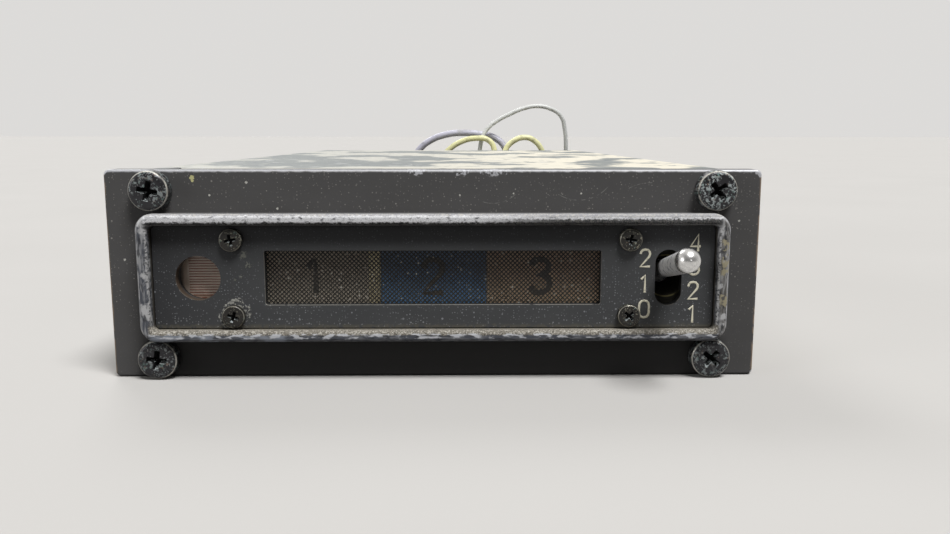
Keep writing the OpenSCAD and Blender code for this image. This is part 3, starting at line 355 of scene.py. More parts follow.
    def paint(self, base: str, *layers: Layer) -> Socket:
        """Lay colours over a base colour.

        Args:
            base: Colour underneath, as hex.
            layers: Masks, each with the hex colour or colour socket that it shows, and how strongly
                where that is less than 1.

        Returns:
            The colour on top.
        """
        result = linear(base)
        for mask, colour, *strength in layers:
            shown = linear(colour) if isinstance(colour, str) else colour
            inputs = {0: self.times(mask, *strength), 6: result, 7: shown}
            result = self.add("ShaderNodeMix", inputs, data_type="RGBA").outputs[2]
        return result

    def levels(self, base: float, *layers: Layer) -> Mask:
        """Lay numbers over a base number.

        Args:
            base: Number underneath.
            layers: Masks, each with the number that it shows.

        Returns:
            The number on top.
        """
        result = base
        for mask, value in layers:
            result = self.add("ShaderNodeMix", {0: mask, 2: result, 3: value}).outputs[0]
        return result

    def relief(self, height: Mask, depth_um: float, under: Socket | None = None) -> Socket:
        """Bump of a real depth.

        Args:
            height: Height from 0 to 1.
            depth_um: What 1 stands for, in micrometres.
            under: Normal that it adds to.

        Returns:
            The bumped normal.
        """
        inputs = {"Height": height, "Distance": depth_um * 1e-6, "Strength": 1.0}
        if under is not None:
            inputs["Normal"] = under
        return self.add("ShaderNodeBump", inputs).outputs["Normal"]

    def done(self, **inputs: object) -> Material:
        """Close the tree with its shader.

        Args:
            inputs: Values or sockets of the shader, its names in lower case with underscores.

        Returns:
            The finished material.
        """
        named = {key.replace("_", " ").title().replace("Ior", "IOR"): value for key, value in inputs.items()}
        shader = self.add("ShaderNodeBsdfPrincipled", named)
        self.add("ShaderNodeOutputMaterial", {"Surface": shader.outputs["BSDF"]})
        return self.owner


@dataclass(frozen=True)
class Metal:
    """Bare or plated metal: grain of its making, light tarnish and dull patches."""

    name: str
    colour: str
    tarnish: str
    roughness: float = 0.34
    grain_mm: float = 0.12
    stretch: Point = (1, 1, 1)

    def make(self) -> Material:
        """Build the material."""
        s = Surface(self.name)
        dull = s.patches(3.0, 0.3, 0.12)
        # Real grain is finer. This is as coarse as it needs to be to show.
        grain = s.cloud(self.grain_mm, 3.0, self.stretch)
        return s.done(
            base_color=s.paint(self.colour, (dull, self.tarnish)), metallic=1.0,
            roughness=s.levels(self.roughness, (dull, self.roughness + 0.16)), normal=s.relief(grain, 3.0))


@dataclass(frozen=True)
class Moulding:
    """Moulded or cast plastic, ceramic or varnish: faint mottle, fine spark texture and handling dust."""

    name: str
    colour: str
    shade: str
    roughness: float = 0.5
    dust: str = "#b9b3a4"
    dust_share: float = 0.1

    def make(self) -> Material:
        """Build the material."""
        s = Surface(self.name)
        mottle = s.cloud(2.4, 3.0)
        dust = s.times(s.patches(1.6, self.dust_share, 0.08), 0.35)
        # The spark texture's 0.25 mm is coarser than real, so that it shows.
        return s.done(
            base_color=s.paint(self.colour, (mottle, self.shade), (dust, self.dust)), ior=1.5,
            roughness=s.levels(self.roughness, (dust, 0.85)), normal=s.relief(s.cloud(0.25, 2.0), 5.0))


@dataclass(frozen=True)
class BezelPaint:
    """Stoved charcoal enamel on a cast bezel: satin, dusty, rubbed to metal on lip and edges, and with
    painted light and shade.
    """

    name: str = "stoved_charcoal_enamel"
    paint: str = "#5d5c5c"
    shade: str = "#4c4b4a"
    lip: str = "#555860"
    streak: str = "#c6c6c7"
    dark: str = "#36373b"
    ledge: str = "#7a7469"
    front_y: float = -82.5
    lip_y: float = -85.0
    chip: Spots = ((-30.5, 25.8, 0.3), (-30.45, 25.4, 0.19))
    nicks: Spots = (
        (-23.7, 25.2, 0.17), (-28.4, 23.6, 0.14), (-19.9, 21.9, 0.15), (10.0, 23.8, 0.11),
        (18.6, 23.8, 0.12), (-39.5, 15.4, 0.15), (38.9, 20.3, 0.14), (-37.9, 9.6, 0.12), (3.2, 23.6, 0.11))
    flakes: Spots = ((3.4, 26.7, 1.0), (7.7, 26.7, 1.5), (-2.4, 26.7, 1.2))
    corners: Spots = ((41.6, 26.8, 0.95), (-41.6, 26.8, 0.6), (41.6, 0.3, 0.4))
    tans: Spots = ((36.5, 14.6, 1.3), (36.4, 17.6, 0.8), (36.5, 10.6, 0.9))
    scrapes: tuple[tuple[float, ...], ...] = (
        (7.4, 26.6, 4.1, 8.4, 22.8, 2.2), (18.3, 27.8, 4.9, 18.9, 23.4, 3.2),
        (27.5, 19.0, 6.2, 26.0, 25.1, 1.6), (-37.0, 40.0, 17.4, -37.6, 22.4, 1.7))

    def make(self) -> Material:
        """Build the material."""
        s = Surface(self.name)
        bare, worn, shine, dull = self._worn(s)
        chip, nicks = s.near(self.front_y, 0.8, *self.chip), s.near(self.front_y, 0.8, *self.nicks)
        # Grains of dust are finer than 0.1 mm. These are as coarse as they need to be to show.
        fine = s.most(s.times(s.specks(0.11, 0.5, 0.45), 0.7), s.specks(0.16, 2.4, 0.6),
                      s.times(s.specks(0.13, 0.42, 0.5), s.patches(3.0, 0.22, 0.05), 0.8))
        dust = s.times(fine, s.facing(Y, -0.4, -0.8), s.patches(0.9, 0.65, 0.1),
                       s.levels(0.25, (s.band(Z, 5.0, 12.0), 1.0)))
        arcs = s.most(*(s.arc(self.front_y, *scrape) for scrape in self.scrapes))
        scrapes = s.times(arcs, s.patches(0.5, 0.5, 0.1))
        inside = s.times(s.band(X, -36.0, -35.8), s.band(X, 36.0, 35.8))
        tray = s.times(inside, s.facing(Z, 0.4, 0.8), s.band(Z, 8.2, 7.6), s.patches(0.35, 0.75, 0.08))
        upright = s.most(s.facing(X, 0.5, 0.9), s.facing(X, -0.5, -0.9))
        # The rim's inner side walls: dusty brown, painted darker as shade between rim and faceplate.
        walls = s.times(inside, upright, s.band(Y, -82.9, -83.3))
        ends = s.most(s.band(X, -41.3, -41.5, 0.1, 1.2), s.band(X, 41.25, 41.5, 0.12, 1.2))
        sides = s.times(ends, s.patches(2.0, 0.7, 0.05))
        # Painted shadow: the strip below the rim's lip, between the rim's sides, is painted near black.
        darkening = s.times(s.band(Z, 5.8, 4.4, 0.6, 3.0), s.band(X, -38.5, -36.0), s.band(X, 38.5, 36.0))
        tone = s.paint(
            self.paint, (s.cloud(5.0, 4.0, (2, 1, 1)), self.shade, 0.7), (dust, "#a5a29c", 0.75),
            (scrapes, "#a3a39e", 0.4), (walls, "#46423b", 0.8), (tray, self.ledge, 0.85),
            (sides, "#a5907a", 0.8), (darkening, "#1f1e1e", 0.85), (nicks, "#c9c8c0"), (chip, "#cfcb95"),
            (bare, worn))
        grain = s.cloud(0.35, 2.0)
        return s.done(
            base_color=tone, metallic=s.levels(0.0, (bare, shine)), specular_ior_level=0.2,
            roughness=s.levels(0.48, (s.cloud(3.0, 3.0), 0.58), (bare, 0.46), (dull, 0.85), (dust, 0.9)),
            normal=s.relief(s.without(s.most(bare, chip, nicks)), 20, s.relief(grain, 7)))

    def _worn(self, s: Surface) -> tuple[Mask, ...]:
        """Where metal shows, its colour with painted light and shade, and how metallic it is.

        Args:
            s: Tree to build in.

        Returns:
            Mask of the worn places, their colour, their metallic level and a mask of the matt ones.
        """
        left, right = s.band(X, -35.9, -36.3), s.band(X, 35.9, 36.3)
        side = s.most(left, right)
        above = s.times(s.band(Z, 19.7, 20.2), s.without(side))
        below = s.times(s.band(Z, 7.4, 7.0), s.without(side))
        lip = s.band(Y, -83.8, -84.4, 0.3, 0.9)
        up, down = s.facing(Z, 0.1, 0.6), s.facing(Z, -0.2, -0.7)
        edge = s.times(s.facing(Y, -0.95, -0.75), s.facing(Y, -0.15, -0.4))
        top = s.times(s.band(Z, 26.4, 26.66, 0.16, 1.0), s.band(Y, -82.0, -82.25), 0.8)
        flakes = s.times(s.band(Z, 26.0, 26.3, 0.5, 0.5), s.patches(0.35, 0.6, 0.06, 4.0),
                         s.near(self.front_y, 1.3, *self.flakes))
        corner = s.near(self.front_y, 0.6, *self.corners)
        bare = s.most(s.times(lip, 0.95), top, flakes, corner)
        streaks = self._along(s, side, 0.5, 0.42, 0.1, 5.0)
        ragged = s.times(edge, self._along(s, side, 0.3, 0.6, 0.05, 3.0))
        chips = s.times(s.patches(1.6, 0.25, 0.05, 4.0), s.without(s.most(above, below)))
        pits = s.times(self._along(s, side, 0.34, 0.3, 0.06, 4.0), s.without(s.times(up, 0.75)))
        bright = s.most(s.times(streaks, s.levels(0.55, (s.most(above, below), 0.2))), chips,
                        s.times(ragged, s.levels(1.0, (down, 0.35))))
        ledge = s.times(below, s.band(Z, 5.95, 6.12, 0.14, 0.5))
        crest = s.times(below, s.band(Z, 5.5, 5.75, 0.3, 0.5), s.band(Z, 6.3, 6.1, 0.1, 0.4),
                        s.patches(0.45, 0.4, 0.05, 4.0, (3, 1, 1)))
        share = s.levels(0.2, (s.band(X, -12, -22), 0.5))
        scuffs = s.times(below, s.patches(1.2, share, 0.05, 4.0, (3, 1, 1)))
        east = s.band(X, 4, 16)
        high = s.times(above, s.levels(
            s.band(Z, 21.1, 21.3, 0.2, 0.5), (east, s.band(Z, 20.92, 21.06, 0.15, 0.5))))
        # Near-white crest of the top bar: partly worn metal, partly painted highlight.
        white = s.times(above, s.patches(0.34, 0.72, 0.06, 4.0, (2, 1, 1)))
        # Dark lower edge of the top bar: painted shade.
        under = s.times(above, s.levels(
            s.band(Z, 20.44, 20.24, 0.45, 0.4), (east, s.band(Z, 20.84, 20.64, 0.35, 0.4))))
        grit = s.most(s.specks(0.2, 0.24, 0.6, flat=False), s.patches(0.2, 0.3, 0.05))
        soot = s.patches(0.22, 0.4, 0.05)
        inner = s.times(s.band(X, 36.0, 35.9), s.band(X, -36.0, -35.9))
        rails = s.times(side, s.most(s.band(X, 37.0, 37.12), s.band(X, -37.0, -37.12), inner),
                        s.patches(0.5, 0.7, 0.08, 4.0, (1, 1, 4)))
        tan = s.times(right, s.near(self.lip_y, 1.2, *self.tans), s.patches(0.5, 0.6, 0.06))
        # Lighter where the lip faces up, darker where it faces down, and its bright streaks dimmer there:
        # painted light and shade.
        tone = s.paint(
            self.lip, (above, "#a2a2a6"), (right, "#62605d"),
            (s.times(up, s.levels(0.85, (above, 0.0))), "#c4c3c6"),
            (s.times(down, s.levels(0.8, (above, 0.5))), "#3b3c42"),
            (s.times(bright, s.levels(1.0, (down, 0.5))), self.streak), (s.times(pits, lip), self.dark, 0.8),
            (tan, "#b1a88c", 0.85), (rails, "#c0c3ca", 0.7), (scuffs, "#989ea9", 0.8),
            (white, "#f4f4f6", 0.95), (high, "#a3a3a7", 0.9), (under, "#1a1b1d", 0.95),
            (ledge, self.ledge, 0.95), (s.times(ledge, soot), "#45423d", 0.6),
            (s.times(high, soot), "#6d6d70", 0.3),
            (s.times(s.patches(0.13, 0.42, 0.08, 4.0), above), "#8d8c8b", 0.35),
            (s.times(s.most(ledge, high), grit), "#d3cfc5", 0.55), (s.times(under, grit), "#98948c", 0.35),
            (crest, "#d3d5da", 0.95), (s.most(top, flakes, corner), "#c3c4c8"))
        dull = s.times(s.most(ledge, high, under, white), s.without(top))
        return bare, tone, s.levels(0.25, (s.most(top, ragged), 0.45), (dull, 0.0)), dull

    def _along(self, s: Surface, side: Mask, size: float, share: float, soft: float, long: float) -> Socket:
        """Patches drawn out along the rim, upright on its short sides."""
        level = s.patches(size, share, soft, 4.0, (long, 1, 1))
        return s.levels(level, (side, s.patches(size, share, soft, 4.0, (1, 1, long))))


@dataclass(frozen=True)
class FaceplatePaint:
    """Blue-grey black matt paint on sheet: dust in its corners, bare metal at its cut edges, painted shade
    under the rim and in its holes.
    """

    name: str = "matt_instrument_black"
    paint: str = "#515253"
    shade: str = "#3f4042"
    front_y: float = -83.6
    stains: Spots = ((-25.5, 9.4, 1.25), (-24.6, 8.6, 1.2), (-26.0, 8.3, 1.5))
    flecks: Spots = ((-23.6, 14.75, 0.4), (-24.2, 16.1, 0.45), (-24.6, 13.4, 0.2), (-25.3, 12.9, 0.18))

    def make(self) -> Material:
        """Build the material."""
        s = Surface(self.name)
        front = s.facing(Y, -0.5, -0.8)
        wall = s.without(s.most(front, s.facing(Y, 0.5, 0.8)))
        crisp = s.band(Y, -83.2, -83.42, 0.05, 0.5)
        window = s.times(s.band(X, -24.0, -22.5), s.band(X, 24.0, 22.5))
        bare = s.times(wall, window, crisp, s.patches(0.8, 0.85, 0.06))
        # Walls of the holes outside the window, painted near black as shade.
        shaded_hole_walls = s.times(wall, s.without(window))
        crest = s.times(shaded_hole_walls, s.band(Y, -83.35, -83.5), s.patches(0.8, 0.6, 0.06))
        # As on the bezel, the grains of dust are drawn coarser than real.
        fine = s.most(s.specks(0.1, 0.36, 0.5), s.specks(0.18, 1.3, 0.5))
        dust = s.times(fine, s.levels(0.25, (s.band(Z, 16.5, 11.0), 0.95)), front,
                       s.patches(1.4, 0.66, 0.1))
        wipe = s.cloud(2.6, 4.0, (3, 1, 1))
        grains = s.most(s.times(s.specks(0.3, 0.32, 0.7), 0.8), s.patches(0.45, 0.3, 0.05))
        stain = s.times(s.near(self.front_y, 0.7, *self.stains), grains, front)
        fleck = s.times(s.near(self.front_y, 1.4, *self.flecks), front, s.patches(0.25, 0.6, 0.06))
        corner = s.times(s.band(Z, 7.3, 6.8, 0.25, 0.8), s.patches(0.5, 0.7, 0.06))
        # Darker towards the left. The band under the rim's top is painted darker as shade.
        tone = s.paint(
            self.paint, (wipe, self.shade, 0.7), (s.band(X, -20, -36), "#303033", 0.5),
            (s.band(Z, 16.6, 18.6), "#2a2a2c", 0.7), (dust, "#989a9e", 0.8), (stain, "#b6b5ad", 0.85),
            (fleck, "#85867c", 0.6), (corner, "#6b6655", 0.4), (shaded_hole_walls, "#121212"),
            (s.times(shaded_hole_walls, s.band(X, -26, -27)), "#55493f", 0.8), (crest, "#8d887c", 0.4),
            (s.times(wall, window), "#2b2b2c"), (bare, "#b1aea6"))
        return s.done(
            base_color=tone, metallic=s.levels(0.0, (bare, 0.4)), specular_ior_level=0.2,
            roughness=s.levels(0.55, (dust, 0.85), (bare, 0.4)),
            normal=s.relief(s.most(stain, fleck), 40, s.relief(s.cloud(0.3, 2.0), 6)))


@dataclass(frozen=True)
class CoverPaint:
    """Thin grey-green lacquer on sheet aluminium, handled until cream primer and metal show."""

    name: str = "worn_grey_lacquer"
    lacquer: str = "#7b7f7c"
    primer: str = "#c6c4ba"
    cream: str = "#dbd5c4"
    metal: str = "#aeb0b0"

    def make(self) -> Material:
        """Build the material."""
        s = Surface(self.name)
        right = s.band(X, -24, 26, 10, 12)
        worn = s.patches(15.0, s.levels(0.47, (right, 0.62)), 0.03, 9.0, (1, 1.7, 1))
        cream = s.times(worn, s.levels(0.75, (right, 1.0)))
        edge = s.times(s.band(Y, -78.2, -78.9, 0.5, 1.2), s.patches(3.5, 0.75, 0.05))
        bare = s.patches(4.0, 0.15, 0.03, 6.0)
        dark = s.patches(3.4, 0.17, 0.03, 7.0)
        scratch = s.lines(9.0, 0.12, 0.45)
        primer = s.paint(self.primer, (right, self.cream))
        tone = s.paint(self.lacquer, (s.cloud(14, 4.0), "#696f70"), (cream, primer), (bare, self.metal),
                       (dark, "#454e5a", 0.8), (edge, "#e2ddcd"), (scratch, "#bdbcb6", 0.7))
        return s.done(
            base_color=tone, metallic=s.levels(0.0, (bare, 0.8)),
            roughness=s.levels(0.5, (bare, 0.36), (cream, 0.6)),
            normal=s.relief(s.most(cream, dark), 18, s.relief(s.cloud(0.5, 2.0), 5)))


@dataclass(frozen=True)
class ScrewBlack:
    """Black oxide on steel: oily black, corroded in pale blue-grey spots, a bright rim of rubbed metal and
    painted highlight, a recess in painted shade.
    """

    name: str
    heads: tuple[tuple[float, float, float, float], ...] = ()
    spots: str = "#c3cccc"
    share: float = 0.42
    rim: str = "#cbc8bf"
    rim_mm: float = 0.13
    steel: str = "#2f2f31"
    bloom: str = "#434245"

    def make(self) -> Material:
        """Build the material."""
        s = Surface(self.name)
        right = s.levels(0.6, (s.band(X, -10, 10), 1.0), (s.band(Z, 12, 8), 0.6))
        blobs = s.times(s.patches(0.32, self.share, 0.04, 5.0), s.patches(1.3, 0.55, 0.08), right)
        spots = s.most(s.times(blobs, 0.9), s.times(s.specks(0.11, 0.34, 0.45), right, 0.8))
        tint = s.paint(self.spots, (s.patches(0.6, 0.3, 0.1), "#86a69f"),
                       (s.patches(0.5, 0.2, 0.1), "#9a7a66"))
        layers: list[Layer] = [(s.cloud(0.8, 3.0), self.bloom), (spots, tint, 0.8)]
        shaded_recess: Mask = 0.0
        if self.heads:
            # Bright rim at each head's edge: partly rubbed metal, partly painted highlight. Near-black
            # recess: painted shade, with painted highlights on its upward faces.
            edges = s.most(*(s.ring(x, z, radius * 0.97, self.rim_mm) for x, z, radius, _ in self.heads))
            rubbed_and_lit_rims = s.times(edges, s.patches(1.6, 0.75, 0.08))
            shaded_recess = s.most(*(s.well(x, z, radius * 0.6, top) for x, z, radius, top in self.heads))
            recess_highlight = s.times(shaded_recess, s.facing(Z, 0.3, 0.7), s.patches(0.4, 0.55, 0.06))
            layers += [(rubbed_and_lit_rims, self.rim, 0.9), (shaded_recess, "#060607"), (recess_highlight, "#b1b8b8", 0.8)]
        return s.done(
            base_color=s.paint(self.steel, *layers), metallic=s.levels(0.6, (spots, 0.1), (shaded_recess, 0.0)),
            specular_ior_level=0.3, roughness=s.levels(0.3, (spots, 0.7), (shaded_recess, 1.0)),
            normal=s.relief(spots, 30, s.relief(s.cloud(0.15, 2.0), 5)))


@dataclass(frozen=True)
class LensDye:
    """Dyed acrylic behind the mesh: clear depth, painted light on the lower half and painted shade above it,
    and settled dust.
    """

    name: str
    colour: str
    low: str
    strip: tuple[float, float, str] | None = None

    def make(self) -> Material:
        """Build the material."""
        s = Surface(self.name)
        # Lighter lower half: painted light, with the top left darker as painted shade of the rim.
        layers: list[Layer] = [(s.band(Z, 14.4, 9.8, 1.4, 3.0), self.low)]
        if self.strip:
            first, last, colour = self.strip
            layers.append((s.times(s.band(X, first, first + 0.15), s.band(X, last + 0.15, last)), colour))
        layers.append((s.specks(0.14, 0.9, 0.25, flat=False), "#c8c6bc", 0.6))
        return s.done(base_color=s.paint(self.colour, *layers), roughness=0.32, ior=1.49,
                      normal=s.relief(s.cloud(1.5, 2.0), 4))


@dataclass(frozen=True)
class MeshBlack:
    """Etched stainless mesh, chemically blackened, its lower half lighter as dust and painted light, and pale
    dust on a few webs.
    """

    name: str = "blackened_etched_mesh"

    def make(self) -> Material:
        """Build the material."""
        s = Surface(self.name)
        dust = s.times(s.specks(0.2, 1.1, 0.5), 0.7)
        # Lighter lower half: partly dust, partly painted light.
        lower_dust_and_light = s.times(s.band(Z, 13.6, 9.2, 1.6, 2.4), s.levels(0.35, (s.cloud(0.9, 4.0), 1.0)))
        tone = s.paint("#161514", (s.cloud(3.0, 3.0), "#1f1d1b"), (lower_dust_and_light, "#3f3c37"), (dust, "#c4c0b6"))
        return s.done(base_color=tone, metallic=0.0, specular_ior_level=0.25,
                      roughness=s.levels(0.55, (dust, 0.9)), normal=s.relief(s.cloud(0.08, 2.0), 4))


@dataclass(frozen=True)
class BoardLaminate:
    """Glass-epoxy board: green solder mask with the cloth's weave and lighter copper tracks beneath."""

    name: str = "glass_epoxy_board"

    def make(self) -> Material:
        """Build the material."""
        s = Surface(self.name)
        weave = s.add("ShaderNodeTexChecker", {"Vector": s.spread(0.6), "Scale": 1.0}).outputs["Fac"]
        cells = s.add("ShaderNodeTexVoronoi", {"Vector": s.spread(3.2), "Scale": 1.0},
                      distance="MANHATTAN", feature="DISTANCE_TO_EDGE").outputs["Distance"]
        tracks = s.ramp(cells, 0.1, 0.14)
        tone = s.paint("#4f5a2c", (weave, "#6b7440", 0.2), (tracks, "#6f7a3c", 0.6))
        return s.done(base_color=tone, roughness=0.4, ior=1.55, normal=s.relief(tracks, 30))


@dataclass(frozen=True)
class WoundWire:
    """Enamelled copper laid in turns: fine parallel threads with a warm gloss."""

    name: str = "enamelled_copper_winding"
    thread_mm: float = 0.3

    def make(self) -> Material:
        """Build the material."""
        s = Surface(self.name)
        # Real turns of 0.1 mm would not show. A wave repeats once in a third of a cell.
        inputs = {"Vector": s.spread(self.thread_mm * 3.14), "Scale": 1.0, "Distortion": 0.4}
        turns = s.add("ShaderNodeTexWave", inputs, bands_direction="Z").outputs["Fac"]
        return s.done(base_color=s.paint("#8a4a22", (turns, "#c07a42")), metallic=0.6, roughness=0.35,
                      normal=s.relief(turns, 60))


@dataclass(frozen=True)
class CellCeramic:
    """Sintered photocell disc: warm beige, browner and plain at its left, a painted shadow of its hole's wall
    at its left edge, dusty at its foot.
    """

    name: str = "sintered_cell"

    def make(self) -> Material:
        """Build the material."""
        s = Surface(self.name)
        plain = s.band(X, -31.3, -32.3, 0.25, 0.8)
        # Dark left edge: painted shadow of the hole's wall.
        edge = s.band(X, -32.4, -32.9, 0.1, 0.8)
        dust = s.times(s.band(Z, 12.6, 10.9, 0.5, 1.0), s.patches(0.6, 0.5, 0.15))
        tone = s.paint(
            "#efdccb", (s.cloud(1.2, 3.0), "#dfc8b6"), (plain, "#bba797", 0.7), (dust, "#c4b9a9", 0.6),
            (s.band(Z, 10.8, 10.4), "#a06a45", 0.5), (edge, "#2a2522", 0.8))
        return s.done(base_color=tone, roughness=0.5, ior=1.6, coat_weight=0.8, coat_roughness=0.15,
                      normal=s.relief(s.cloud(0.3, 2.0), 8))


@dataclass(frozen=True)
class WireSleeve:
    """Extruded wire insulation: waxy and slightly clear, with grime along it."""

    name: str
    colour: str
    shade: str
    clear: float = 0.0

    def make(self) -> Material:
        """Build the material."""
        s = Surface(self.name)
        darkening = s.patches(2.2, 0.25, 0.1)
        tone = s.paint(self.colour, (s.cloud(4.0, 3.0), self.shade), (darkening, "#7d7a66", 0.4))
        return s.done(base_color=tone, roughness=s.levels(0.38, (darkening, 0.6)), ior=1.5,
                      transmission_weight=self.clear, normal=s.relief(s.cloud(0.4, 2.0), 6))


@dataclass(frozen=True)
class PrintInk:
    """Screen-printed cream ink, yellowed and slightly worn through."""

    name: str = "cream_screen_ink"

    def make(self) -> Material:
        """Build the material."""
        s = Surface(self.name)
        return s.done(base_color=s.paint("#efe9d2", (s.patches(0.4, 0.25, 0.06), "#a3a08f", 0.6)),
                      roughness=0.6, normal=s.relief(s.cloud(0.1, 2.0), 4))


@dataclass(frozen=True)
class Nickel:
    """Bright nickel on the lever, scuffed by fingers until it is satin with dull patches."""

    name: str = "scuffed_bright_nickel"

    def make(self) -> Material:
        """Build the material."""
        s = Surface(self.name)
        shank = s.band(Y, -92.7, -91.9, 0.3, 0.6)
        scuff = s.patches(0.35, 0.5, 0.12, 4.0)
        stain = s.times(s.patches(0.6, 0.34, 0.08, 4.0), s.band(Y, -91.6, -90.6))
        tone = s.paint("#e2e1df", (scuff, "#cfcecd"), (shank, "#f6f5f4"), (stain, "#74757e", 0.6))
        return s.done(
            base_color=tone, metallic=s.levels(1.0, (shank, 0.4)),
            roughness=s.levels(0.24, (scuff, 0.32), (shank, 0.42), (stain, 0.5)),
            normal=s.relief(s.cloud(0.3, 3.0), 3))


@dataclass(frozen=True)
class BushingBrass:
    """Chromated bushing behind the slot, painted nearly black as the shade inside the slot, its bore's lip
    rubbed yellow.
    """

    name: str = "chromate_in_painted_shade"

    def make(self) -> Material:
        """Build the material."""
        s = Surface(self.name)
        lip = s.times(s.ring(29.8, 13.15, 2.78, 0.18), s.patches(1.2, 0.7, 0.1))
        # Near-black base: painted shade inside the slot.
        tone = s.paint("#1f1e17", (s.cloud(0.8, 3.0), "#14130e"), (lip, "#77704d", 0.75))
        return s.done(base_color=tone, metallic=0.0, specular_ior_level=0.2, roughness=0.8,
                      normal=s.relief(s.cloud(0.3, 2.0), 6))


def clear_selection() -> None:
    """Leave edit mode and deselect everything."""
    if bpy.context.mode != "OBJECT":
        bpy.ops.object.mode_set(mode="OBJECT")
    bpy.ops.object.select_all(action="DESELECT")


def activate(*pieces: Piece) -> None:
    """Select pieces alone.

    Args:
        pieces: The objects, of which the first becomes the active one.
    """
    clear_selection()
    for piece in pieces:
        piece.select_set(True)
    bpy.context.view_layer.objects.active = pieces[0]


def put(name: str, data: bpy.types.ID) -> Piece:
    """Put data into the scene.

    Args:
        name: Name of the object that holds it.
        data: Mesh, curve, camera or lamp.

    Returns:
        The new object.
    """
    item = bpy.data.objects.new(name, data)
    bpy.context.scene.collection.objects.link(item)
    return item


def start(add: Callable, name: str, **settings: object) -> Piece:
    """Add a primitive and apply its transform.

    Args:
        add: Blender's operator for the primitive.
        name: Name of the piece.
        settings: Size, place and turn of the primitive.

    Returns:
        The new object.
    """
    clear_selection()
    add(**settings)
    piece = bpy.context.object
    piece.name = piece.data.name = name
    bpy.ops.object.transform_apply(location=True, rotation=True, scale=True)
    return piece


def round_line(name: str, kind: str, width_mm: float, steps: int) -> tuple[Piece, bpy.types.Spline]:
    """Start a round line with closed ends.

    Args:
        name: Name of the piece.
        kind: Blender's name of the spline.
        width_mm: Diameter of the line.
        steps: How finely it is rounded.

    Returns:
        The curve and its empty spline.
    """
    data = bpy.data.curves.new(name, "CURVE")
    data.dimensions = "3D"
    data.bevel_depth = width_mm * MM / 2
    data.bevel_resolution = steps
    data.use_fill_caps = True
    return put(name, data), data.splines.new(kind)


def pick(piece: Piece, test: Callable[[bpy.types.MeshPolygon], bool]) -> None:
    """Select the faces that pass a test and open the mesh for editing.

    Args:
        piece: Object to edit.
        test: Whether a face is selected.
    """
    activate(piece)
    mesh = piece.data
    chosen = [test(face) for face in mesh.polygons]
    for parts in (mesh.vertices, mesh.edges):
        parts.foreach_set("select", [False] * len(parts))
    mesh.polygons.foreach_set("select", chosen)
    bpy.ops.object.mode_set(mode="EDIT")
    bpy.ops.mesh.select_mode(type="FACE")


def change(piece: Piece, kind: str, **settings: object) -> None:
    """Add a modifier and apply it.

    Args:
        piece: Object that it changes.
        kind: Blender's name of the modifier.
        settings: The modifier's settings.
    """
    activate(piece)
    modifier = piece.modifiers.new(kind.lower(), kind)
    for key, value in settings.items():
        setattr(modifier, key, value)
    bpy.ops.object.modifier_apply(modifier=modifier.name)


def join(name: str, pieces: Sequence[Piece]) -> Piece:
    """Join pieces into one.

    Args:
        name: Name of the joined piece.
        pieces: Objects to join.

    Returns:
        The joined piece.
    """
    activate(*pieces)
    bpy.ops.object.join()
    pieces[0].name = pieces[0].data.name = name
    return pieces[0]


def copy_to(piece: Piece, name: str, place: Matrix) -> Piece:
    """Copy a piece with its own mesh, the place applied to that mesh.

    Args:
        piece: Object to copy.
        name: Name of the copy.
        place: Where the copy goes.

    Returns:
        The copy.
    """
    twin = put(name, piece.data.copy())
    twin.data.name = name
    twin.data.transform(place)
    return twin


def remove(piece: Piece) -> None:
    """Delete a piece that only shaped others."""
    bpy.data.objects.remove(piece, do_unlink=True)


def smooth(piece: Piece, degrees: float = 35) -> None:
    """Shade a piece smooth where its faces meet at less than an angle."""
    activate(piece)
    bpy.ops.object.shade_smooth_by_angle(angle=math.radians(degrees))


def coat(piece: Piece, material: Material) -> None:
    """Give a piece one material."""
    piece.data.materials.clear()
    piece.data.materials.append(material)


def finish_piece(piece: Piece, material: Material, slot: str, *stands_for: str,
                 body: Body = Body.CASE) -> None:
    """Dress a piece and fix it to its body.

    Args:
        piece: Finished object.
        material: Its material.
        slot: Not used.
        stands_for: CAD nodes that it replaces.
        body: Body that it moves with.
    """
    coat(piece, material)
    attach(piece, body.value)
    if stands_for:
        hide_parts(*stands_for)
    LOG.info("piece %s on %s", piece.name, body.value)


